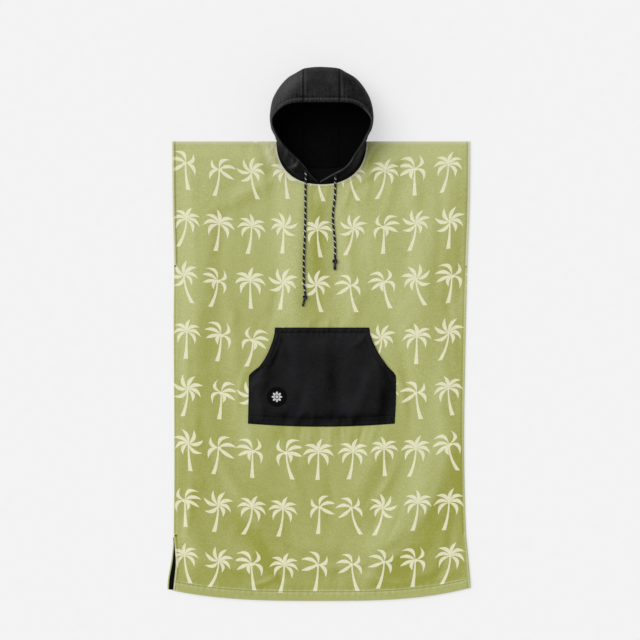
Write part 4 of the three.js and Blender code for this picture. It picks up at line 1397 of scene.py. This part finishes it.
def patch_finish():
    """A dense black woven patch with a plain pale rosette: eight petals round a ring and a dot."""
    finish = Finish("patch_weave", Roughness=0.85)
    finish.shader.inputs["Specular IOR Level"].default_value = 0.08
    u, v = finish.uv()
    x = u - PATCH["x"]
    y = v - PATCH["y"]
    away = (x * x + y * y) ** 0.5
    turn = finish.node("Math", {"operation": "ARCTAN2"}, {0: y, 1: x})
    petals = abs((turn * 4).maths("COSINE", turn * 4))
    flower = 1 - (away - 6.4 - petals * 6.4).step(-0.3, 0.5)
    ring = 1 - abs(away - 4.6).step(0.7, 1.2)
    mark = flower * (1 - ring)
    ribs = ((u * 1.1).fraction() - 0.5) * ((v * 1.1).fraction() - 0.5)
    colour = finish.blend(mark, (0.002, 0.002, 0.002), (0.62, 0.62, 0.61))
    finish.feed("Base Color", colour)
    finish.feed("Normal", finish.bump(ribs.step(-0.15, 0.15) + mark * 0.6, 0.0004, 0.7))
    return finish.material


def plain_finish(name, colour, roughness=0.8, scale=1400):
    """Thread or tape: one colour, a little uneven, with a fine twist raised in it."""
    finish = Finish(name, Roughness=roughness)
    finish.shader.inputs["Specular IOR Level"].default_value = 0.25
    twist = finish.noise(finish.place(), scale, 2)
    darker, lighter = [c * 0.8 for c in colour], [c * 1.2 for c in colour]
    finish.feed("Base Color", finish.blend(twist.step(0.3, 0.7), darker, lighter))
    finish.feed("Normal", finish.bump(twist, 0.0004, 0.6))
    return finish.material


def floor_finish():
    """A pale backdrop that is lit from below as well, so that shadows on it stay faint."""
    finish = Finish("studio_floor", Roughness=0.9)
    finish.shader.inputs["Specular IOR Level"].default_value = 0.1
    grain = finish.noise(finish.place(), 40, 2)
    finish.feed("Base Color", finish.blend(grain, (0.39, 0.39, 0.39), (0.41, 0.41, 0.41)))
    finish.shader.inputs["Emission Color"].default_value = (1.0, 1.0, 1.0, 1)
    finish.shader.inputs["Emission Strength"].default_value = 0.496
    return finish.material


def make_threads(name, runs, finish, slot, **sizes):
    """Several runs of stitches as one piece. A run is its line and the way up from the cloth."""
    made = [stitches(line, up, **sizes) for line, up in runs]
    offsets = np.cumsum([0] + [len(points) for points, _ in made[:-1]])
    points = np.concatenate([points for points, _ in made])
    faces = np.concatenate([faces + offset for (_, faces), offset in zip(made, offsets)])
    mesh = bpy.data.meshes.new(name)
    mesh.from_pydata(metres(points).tolist(), [], faces.tolist())
    mesh.polygons.foreach_set("use_smooth", np.ones(len(faces), bool))
    mesh.materials.append(finish)
    made = bpy.data.objects.new(name, mesh)
    bpy.context.scene.collection.objects.link(made)
    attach(made, "root")
    return made


class PONCHO_OT_body(Operator):
    """Make the back and the front with their hems, creases and print, and the tape of the slit"""

    bl_idname = "poncho.body"
    bl_label = "Body"

    def execute(self, context):
        cloth = context.scene.poncho_cloth
        wall = cloth.wall * 1000
        finish = printed_finish(context.scene.poncho_colours, cloth)
        none = np.zeros
        tucked = {name: size - NECK_TUCK for name, size in BACK_NECK.items()}
        x, y = body_plan(tucked, "back_left", 22, 60, 150)
        full = body_fullness(x, y, "back_left", BACK_NECK)
        outer, inner = heights_to_walls(x, y, 0 * x, back_top(x, y, wall), full)
        inner[..., 2] = np.maximum(inner[..., 2], 0)
        wrong = np.concatenate([np.ones(x.size), none(x.size)])
        beyond = (neck_reach(BACK_NECK, x, np.minimum(y, 0)) - 1) * BACK_NECK["depth"]
        # Near black by the neckline, in the finish of the slit's tape
        dark_by_neck = (y < -20) & (beyond < NECK_DARK_REACH)
        tags = {
            "wrong_side": wrong,
            "pale": wrong * 0.25,
            "painted_light": none(2 * x.size) + 0.5,
            "shade": none(2 * x.size),
        }
        tape = plain_finish("slit_twill", (0.003, 0.003, 0.0032), 0.85)
        tape.node_tree.nodes["Principled BSDF"].inputs["Specular IOR Level"].default_value = 0.06
        back = cloth_piece(
            "back_towelling", outer, inner, finish, tags, ("back_panel",), tape, dark_by_neck
        )
        x, y = body_plan(FRONT_NECK, "left", 34, 84, 236)
        under, top = front_shape(x, y, wall, cloth.creasing)
        full = body_fullness(x, y, "left", FRONT_NECK)
        outer, inner = heights_to_walls(x, y, under, top, full)
        side = from_sides(BODY, "left", y, x)
        low = y - hem_y(x)
        cut = (1 - smooth(2.0, 4.2, from_neck(x, y))) * smooth(0, 14, -y) * 0.9
        shoulder = (1 - smooth(2.5, 8.0, -y)) * 0.62
        armhole = smooth(ARMHOLE_END - 4, ARMHOLE_END + 4, y)
        slit = smooth(-980, -1000, y) * (x < 0)
        edge = (1 - smooth(3.2, 5.2, side)) * np.maximum(lerp(0.22, 0.85, armhole), 0.6 * slit)
        edge = np.maximum(edge, (1 - smooth(1.0, 3.0, low)) * 0.4)
        # Pale at the neckline's cut, the shoulders and the open edges, plus painted highlights on the creases
        # by the neck
        pale = np.maximum(np.maximum(cut, shoulder), edge) + ridges(NECK_CREASE_HIGHLIGHTS, x, y)
        # Painted shade in the stitched grooves of the side hems, the hem and the neck seam
        seams = groove(side - 7.4, 0.34, 1.4) * lerp(0.15, 1, armhole) + groove(low - HEM["stitch"], 0.3, 1.4)
        seams = seams + groove(from_neck(x, y) - 6, 0.16, 2)
        # Painted light: paler towards the top and the right, in patches on the folds and along the hem band
        turned = PAINTED_LIGHT["top"] * (1 + y / PAINTED_LIGHT["level"]) + PAINTED_LIGHT["across"] * x / 360
        turned = turned + ridges(FRONT_LIGHT_AND_SHADE, x, y) + 0.25 * (1 - smooth(HEM["stitch"] - 3, HEM["stitch"], low))
        tags = {
            "wrong_side": np.concatenate([none(x.size), np.ones(x.size)]),
            "pale": np.concatenate([np.clip(pale, 0, 1).ravel(), none(x.size)]),
            "painted_light": np.concatenate([(painted_light(outer) + turned).ravel(), none(x.size)]),
            "shade": np.concatenate([np.clip(seams, 0, 1).ravel(), none(x.size)]),
        }
        front = cloth_piece(
            "front_towelling", outer, inner, finish, tags, ("front_panel",)
        )

        share = np.linspace(0, 1, 40)[:, None]
        span = np.linspace(0, 1, 6)[None, :]
        height = lerp(TAPE["top"], hem_y(np.array(float(TAPE["x"]))) + TAPE["short"], share)
        margin = TAPE_MARGIN["most"] * smooth(TAPE_MARGIN["open_from"], TAPE_MARGIN["open_to"], share)
        right = at_height(BODY, "left", height) - 2 * SEAM_GAP
        left = np.minimum(at_height(BODY, "back_left", height) + margin, right - TAPE["narrowest"])
        x = lerp(left, right, span)
        y = height + 0 * x
        under = back_top(x, y, wall) + SEAM_GAP
        full = rounding(np.minimum(x - left, right - x), 0.6)
        outer, inner = heights_to_walls(x, y, under, under + TAPE["thick"], full)
        cloth_piece("slit_twill_tape", outer, inner, tape, None, ("slit_tape_left",))
        return {"FINISHED"}


class PONCHO_OT_hood(Operator):
    """Make the hood's two side panels and the strip over its crown"""

    bl_idname = "poncho.hood"
    bl_label = "Hood"

    def execute(self, context):
        cloth = context.scene.poncho_cloth
        wall = cloth.wall * 1000
        colour = context.scene.poncho_colours.hood
        finish = dark_finish("hood_towelling", colour, cloth, 0.05, 1.0, 5.8)
        # Painted shade: the inner face is the hood's towelling at a fifth of its colour and without sheen,
        # darkened for the shade inside the hood
        second_finish = dark_finish("hood_inner_face", [part * 0.2 for part in colour], cloth, 0.0, 0.3, 2.6)
        for name, mirror, creases in (
            ("hood_left", -1, LEFT_HOOD_CREASES),
            ("hood_right", 1, RIGHT_HOOD_CREASES),
        ):
            outer, inner = hood_side(mirror, creases, wall)
            tags = self.marks(outer, (True, False), 0.6 + 0.3 * mirror)
            made = cloth_piece(name + "_cloth", outer, inner, finish, tags, (name,), second_finish)
        outer, inner = hood_strip(wall)
        tags = self.marks(outer, (True, True), 0.0)
        made = cloth_piece(
            "hood_strip_cloth", outer, inner, finish, tags, ("hood_strip",), second_finish
        )
        return {"FINISHED"}

    def marks(self, outer, edges, roll):
        """Painted light on the hood's outer face: painted highlights, painted shade in its seams and on its
        lapels, and how far it faces the light.

        roll is how bright the painted highlight on its lapel's rim is."""
        rim = travelled(outer, 1)
        along = travelled(outer, 0)
        first = along
        last = along[-1:] - along
        wave = np.sin(2 * np.pi * along / 5.3 + 2.3 * np.sin(2 * np.pi * along / 37))
        wave = 0.5 + 0.35 * wave + 0.25 * np.sin(2 * np.pi * along / 3.1 + rim / 2)
        crown = smooth(55, 76, outer[..., 1])
        # Painted highlights on the tunnel's gathers, on the lapel's rim, on the ridge beside the strip's seam
        # and on the crumples
        gather_highlight = np.exp(-(((rim - 9) / 3.2) ** 2)) * np.clip(wave, 0, 1) * crown * 0.7
        lapel_rim_highlight = np.exp(-(((rim - 2.6) / 2.4) ** 2)) * (1 - crown) * roll
        seam_ridge_highlight = np.exp(-(((first - 4.5) / 2.5) ** 2)) * smooth(14, 24, rim) * edges[0] * 0.3
        # Painted shade in the seams, at the tunnel's stitching and on the lapels
        seam = groove(first, 0.85, 2.6) * edges[0] + groove(last, 0.85, 2.6) * edges[1]
        seam = seam + groove(rim - TUNNEL["width"] - 1.4, 0.6, 1.6)
        facing = grid_normals(outer)
        facing = facing * np.sign((facing * (outer - [0, 20, 40])).sum())
        lapel = smooth(15, -25, outer[..., 1])
        # Painted light: paler where the face turns to the upper left, less so on the lapels, and in patches
        light = (0.07 - 0.68 * facing[..., 0] + 0.15 * facing[..., 1]) * (1 - 0.9 * lapel)
        light = light + ridges(HOOD_LIGHT_AND_SHADE, outer[..., 0], outer[..., 1])
        none = np.zeros(rim.size)
        crumple_highlight = ridges(HOOD_CRUMPLE_HIGHLIGHTS, outer[..., 0], outer[..., 1])
        pale = np.clip(gather_highlight + lapel_rim_highlight + seam_ridge_highlight + crumple_highlight, 0, 1)
        dark = np.clip(seam + 0.4 * lapel * (1 - pale), 0, 0.9)
        return {
            "pale": np.concatenate([pale.ravel(), none]),
            "shade": np.concatenate([dark.ravel(), none]),
            "painted_light": np.concatenate([np.clip(light, 0, 1).ravel(), none]),
        }


class PONCHO_OT_pocket(Operator):
    """Make the kangaroo pocket and its round woven patch"""

    bl_idname = "poncho.pocket"
    bl_label = "Pocket"

    def execute(self, context):
        cloth = context.scene.poncho_cloth
        wall = cloth.wall * 1000
        pocket_wall = cloth.pocket_wall * 1000
        finish = dark_finish("pocket_towelling", context.scene.poncho_colours.pocket, cloth, 0.05, 0.8, 4.2)
        edge = np.array([0.4, 1.2, 2.5, 5, 8, 10.5, 11.6, 12.4, 13.4, 15.5])
        down = np.unique(np.concatenate([[0], edge, np.linspace(19, POCKET_DEPTH, 88)]))
        across = shares(86)
        y = POCKET["y"][0] - down[:, None] + 0 * across
        left, right = at_height(POCKET, "left", y), at_height(POCKET, "right", y)
        plain = lerp(left + 16, right - 16, across)
        edges = np.concatenate([[0], edge])
        x = np.concatenate([left[:, :1] + edges, plain, (right[:, :1] - edges)[:, ::-1]], 1)
        y = y[:, :1] + 0 * x
        low = smooth(POCKET["y"][0] - 120, POCKET["y"][-1], y)
        y = y + (pocket_bottom(x) - (POCKET["y"][0] - POCKET_DEPTH)) * low
        under, top = pocket_shape(x, y, wall, pocket_wall, cloth.creasing)
        full = rounding(from_sides(POCKET, "left", y, x), 1.3) * rounding(POCKET["y"][0] - y, 1.3)
        outer, inner = heights_to_walls(x, y, under, top, full * rounding(y - pocket_bottom(x), 1.3))
        side = from_sides(POCKET, "left", y, x)
        top_side = POCKET["y"][0] - y
        low_side = y - pocket_bottom(x)
        mouth = smooth(POCKET_OPENING_END - 3, POCKET_OPENING_END + 3, y)
        # Painted shade in the stitched grooves and round the pocket's edges
        seams = groove(top_side - POCKET_HEM["stitch"], 0.35, 1.5)
        seams = seams + groove(side - POCKET_HEM["stitch"], 0.3, 1.5) * mouth
        seams = seams + groove(low_side - POCKET_BOTTOM["stitch"], 0.25, 1.3)
        seams = seams + groove(np.minimum(side, np.minimum(top_side, low_side)), 0.7, 2.0)
        none = np.zeros(x.size)
        # Painted light: paler where the pocket faces the upper left and in patches on its folds
        tags = {
            "pale": np.zeros(2 * x.size),
            "shade": np.concatenate([np.clip(seams, 0, 0.9).ravel(), none]),
            "painted_light": np.concatenate([(painted_light(outer) + ridges(POCKET_LIGHT_AND_SHADE, x, y)).ravel(), none]),
        }
        made = cloth_piece("pocket_cloth", outer, inner, finish, tags, ("pocket",))

        reach = np.concatenate([np.linspace(0, 0.86, 14), [0.9, 0.935, 0.96, 0.985, 1.0]])[1:]
        turn = np.linspace(0, 2 * np.pi, 97)[:-1]
        x = PATCH["x"] + PATCH["radius"] * reach[:, None] * np.cos(turn)
        y = PATCH["y"] + PATCH["radius"] * reach[:, None] * np.sin(turn)
        under = pocket_shape(x, y, wall, pocket_wall, cloth.creasing)[1] + SEAM_GAP
        border = np.exp(-(((reach[:, None] - 0.945) / 0.04) ** 2)) * (0.6 + 0.12 * np.cos(60 * turn))
        top = under + PATCH["thick"] * 0.75 * rounding((1 - reach[:, None]) * PATCH["radius"], 0.8) + border
        rings = np.concatenate([np.stack([x, y, top], -1), np.stack([x, y, under], -1)[::-1]])
        count, sides = rings.shape[:2]
        corner = np.arange(count * sides).reshape(count, sides)
        following = np.roll(corner, -1, 1)
        quads = np.stack([corner[:-1], following[:-1], following[1:], corner[1:]], -1).reshape(-1, 4)
        points = rings.reshape(-1, 3)
        caps = [corner[0], corner[-1][::-1]]
        quads = quads[:, ::-1]
        corners = np.concatenate([quads.ravel(), *caps])
        make_piece(
            "woven_patch", points, quads, patch_finish(), ("pocket_patch",),
            uv=points[corners][:, :2], caps=caps,
        )
        return {"FINISHED"}


class PONCHO_OT_cords(Operator):
    """Make both ends of the drawcord with their knots"""

    bl_idname = "poncho.cords"
    bl_label = "Drawcords"

    def execute(self, context):
        sizes = context.scene.poncho_cord
        finish = cord_finish("drawcord_braid", context.scene.poncho_colours, sizes.pitch)
        plain = cord_finish("drawcord_end", context.scene.poncho_colours, sizes.pitch, 0.12)
        radius = sizes.diameter * 500
        for side, rows, knot in (("left", LEFT_CORD, LEFT_KNOT), ("right", RIGHT_CORD, RIGHT_KNOT)):
            line = even_line(line_of(rows, 600), 1.5)
            points, quads, uv, caps = tube(line, np.full(len(line), radius), 20)
            node = "cord_" + side
            cord = make_piece(
                "drawcord_" + side, points, quads, finish, (node,), uv=uv, caps=caps
            )
            tied = self.knot(side, knot, radius, plain, node + "_knot")
        return {"FINISHED"}

    def knot(self, side, knot, radius, finish, node):
        """The cord carried on along an overhand knot's line, then straight on as its tail."""
        long = np.hypot(knot["tail_x"] - knot["x"], knot["tail_y"] - knot["y"])
        along, across, up = KNOT_LINE["along"], KNOT_LINE["across"], KNOT_LINE["up"]
        tail = np.array([0.75, 0.9, 1.0]) * long / knot["size"]
        rows = {
            "x": np.concatenate([along, tail]) * knot["size"],
            "y": np.concatenate([across, [0, 0.02, 0.05]]) * knot["size"],
            "z": np.concatenate([up, [0, 0, 0]]) * knot["size"] * KNOT_FLATNESS,
        }
        local = even_line(line_of(rows, 700), 0.7)
        ahead = np.array([knot["tail_x"] - knot["x"], knot["tail_y"] - knot["y"]]) / long
        line = np.stack(
            [
                knot["x"] + local[:, 0] * ahead[0] - local[:, 1] * ahead[1],
                knot["y"] + local[:, 0] * ahead[1] + local[:, 1] * ahead[0],
                knot["z"] + local[:, 2],
            ],
            -1,
        )
        reach = travelled(line[None], 1)[0]
        left = reach[-1] - reach
        thick = lerp(knot["tail"], radius * 0.92, smooth(8, 16, left))
        points, quads, uv, caps = tube(line, thick * rounding(left, 1.2), 18)
        return make_piece(
            "drawcord_" + side + "_knot", points, quads, finish, (node,), uv=uv, caps=caps
        )


class PONCHO_OT_stitching(Operator):
    """Make the runs of stitches on hems, pocket and hood, and the bar tacks"""

    bl_idname = "poncho.stitching"
    bl_label = "Stitching"

    def execute(self, context):
        cloth = context.scene.poncho_cloth
        wall = cloth.wall * 1000
        pocket_wall = cloth.pocket_wall * 1000

        def on_front(x, y):
            """A run on the front: the points and the way up."""
            z = front_shape(x, y, wall, cloth.creasing)[1]
            return np.stack([x, y, z + 0.12], -1), np.tile([0.0, 0.0, 1.0], (len(x), 1))

        def on_pocket(x, y):
            z = pocket_shape(x, y, wall, pocket_wall, cloth.creasing)[1]
            return np.stack([x, y, z + 0.12], -1), np.tile([0.0, 0.0, 1.0], (len(x), 1))

        x = np.linspace(-359, 358, 600)
        runs = [on_front(x, hem_y(x) + HEM["stitch"])]
        for first, last in ((-4, ARMHOLE_END), (SLIT_TOP, -1098)):
            y = np.linspace(first, last, 260)
            runs.append(on_front(at_height(BODY, "left", y) + SIDE_HEM["stitch"], y))
            runs.append(on_front(at_height(BODY, "right", y) - SIDE_HEM["stitch"], y))
        thread = plain_finish("green_thread", (0.22, 0.23, 0.075))
        make_threads("hem_stitching", runs, thread, "print_towelling")

        top = POCKET["y"][0] - POCKET_HEM["stitch"]
        x = np.linspace(-117, 117, 200)
        runs = [on_pocket(x, 0 * x + top)]
        y = np.linspace(-457, POCKET_OPENING_END - 6, 160)
        runs.append(on_pocket(at_height(POCKET, "left", y) + POCKET_HEM["stitch"], y))
        runs.append(on_pocket(at_height(POCKET, "right", y) - POCKET_HEM["stitch"], y))
        x = np.linspace(-180, 178, 300)
        runs.append(on_pocket(x, pocket_bottom(x) + POCKET_BOTTOM["stitch"]))
        x = np.linspace(-179, 177, 300)
        runs.append(on_pocket(x, pocket_bottom(x) + 2.2))
        y = np.linspace(POCKET_OPENING_END - 3, -690, 120)
        runs.append(on_pocket(at_height(POCKET, "left", y) + 2.2, y))
        runs.append(on_pocket(at_height(POCKET, "right", y) - 2.2, y))
        dark = plain_finish("dark_thread", (0.03, 0.03, 0.03))
        make_threads("pocket_stitching", runs, dark, "pocket_towelling")

        runs = []
        for walls in (
            hood_side(-1, LEFT_HOOD_CREASES, wall),
            hood_strip(wall),
            hood_side(1, RIGHT_HOOD_CREASES, wall),
        ):
            runs.append(self.along_tunnel(walls[0], walls[1]))
        make_threads("hood_stitching", runs, dark, "hood_towelling")

        black = plain_finish("black_thread", (0.006, 0.006, 0.006))
        tacks = []
        for x, y in ((-358, -305), (354, -305.5), (-356.6, -965)):
            z = front_shape(np.array([x]), np.array([y]), wall, cloth.creasing)[1][0]
            for offset in np.arange(-1.6, 1.7, 0.8):
                line = np.array([[x - 3.2, y + offset, z + 0.3], [x + 3.2, y + offset, z + 0.3]])
                tacks.append((line, np.tile([0.0, 0.0, 1.0], (2, 1))))
        make_threads("bar_tacks", tacks, black, "slit_tape", long=6.2, wide=0.9, high=0.5, pitch=6.3)
        return {"FINISHED"}

    def along_tunnel(self, outer, inner):
        """A run on the hood's outer face where the tunnel is sewn."""
        rim = travelled(outer, 1)
        column = np.argmin(np.abs(rim - TUNNEL["width"]), axis=1)
        rows = np.arange(len(outer))
        up = outer[rows, column] - inner[rows, column]
        up /= np.linalg.norm(up, axis=-1, keepdims=True)
        return outer[rows, column] + 0.1 * up, up


class PONCHO_OT_stage(Operator):
    """Set up the camera, the soft lights and the pale floor"""

    bl_idname = "poncho.stage"
    bl_label = "Stage"

    def execute(self, context):
        scene = context.scene
        camera = bpy.data.objects.new("camera", bpy.data.cameras.new("camera"))
        camera.data.lens = CAMERA["lens"]
        camera.data.sensor_width = CAMERA["sensor"]
        camera.location = metres([CAMERA["x"], CAMERA["y"], CAMERA["z"]])
        camera.data.clip_end = 100
        scene.collection.objects.link(camera)
        scene.camera = camera
        scene.view_settings.view_transform = "Standard"

        half = FLOOR["half_width"]
        low = FLOOR["z"]
        mesh = bpy.data.meshes.new("floor")
        corners = [(-half, -half, low), (half, -half, low), (half, half, low), (-half, half, low)]
        mesh.from_pydata(corners, [], [(0, 1, 2, 3)])
        mesh.materials.append(floor_finish())
        floor = bpy.data.objects.new("floor", mesh)
        scene.collection.objects.link(floor)

        light = bpy.data.lights.new("key_light", "SUN")
        light.energy = 1.9
        light.angle = 0.85
        lamp = bpy.data.objects.new("key_light", light)
        lamp.location = (-2.2, 1.6, 3.9)
        lamp.rotation_euler = lamp.location.to_track_quat("Z", "Y").to_euler()
        scene.collection.objects.link(lamp)

        world = bpy.data.worlds.new("studio")
        world.use_nodes = True
        background = world.node_tree.nodes["Background"]
        background.inputs["Color"].default_value = (1.0, 1.0, 1.0, 1)
        background.inputs["Strength"].default_value = 0.5
        scene.world = world
        return {"FINISHED"}


STEPS = (
    PONCHO_OT_stage,
    PONCHO_OT_cords,
    PONCHO_OT_body,
    PONCHO_OT_hood,
    PONCHO_OT_pocket,
    PONCHO_OT_stitching,
)


class PONCHO_PT_panel(Panel):
    """The steps that make the poncho, and its sizes and colours"""

    bl_label = "Poncho"
    bl_idname = "PONCHO_PT_panel"
    bl_space_type = "VIEW_3D"
    bl_region_type = "UI"
    bl_category = "Poncho"

    def draw(self, context):
        for group in ("poncho_cloth", "poncho_colours", "poncho_cord"):
            values = getattr(context.scene, group)
            for name in values.__annotations__:
                self.layout.prop(values, name)
        for step in STEPS:
            self.layout.operator(step.bl_idname)


GROUPS = {"poncho_cloth": PonchoCloth, "poncho_colours": PonchoColours, "poncho_cord": PonchoCord}


def register():
    for made in (*GROUPS.values(), *STEPS, PONCHO_PT_panel):
        bpy.utils.register_class(made)
    for name, group in GROUPS.items():
        setattr(bpy.types.Scene, name, PointerProperty(type=group))


def unregister():
    for name in GROUPS:
        delattr(bpy.types.Scene, name)
    for made in reversed((*GROUPS.values(), *STEPS, PONCHO_PT_panel)):
        bpy.utils.unregister_class(made)


def main():
    """Registers the add-on and runs its steps in order."""
    register()
    bpy.ops.poncho.stage()
    bpy.ops.poncho.cords()
    bpy.ops.poncho.body()
    bpy.ops.poncho.hood()
    bpy.ops.poncho.pocket()
    bpy.ops.poncho.stitching()


if __name__ == "__main__":
    main()
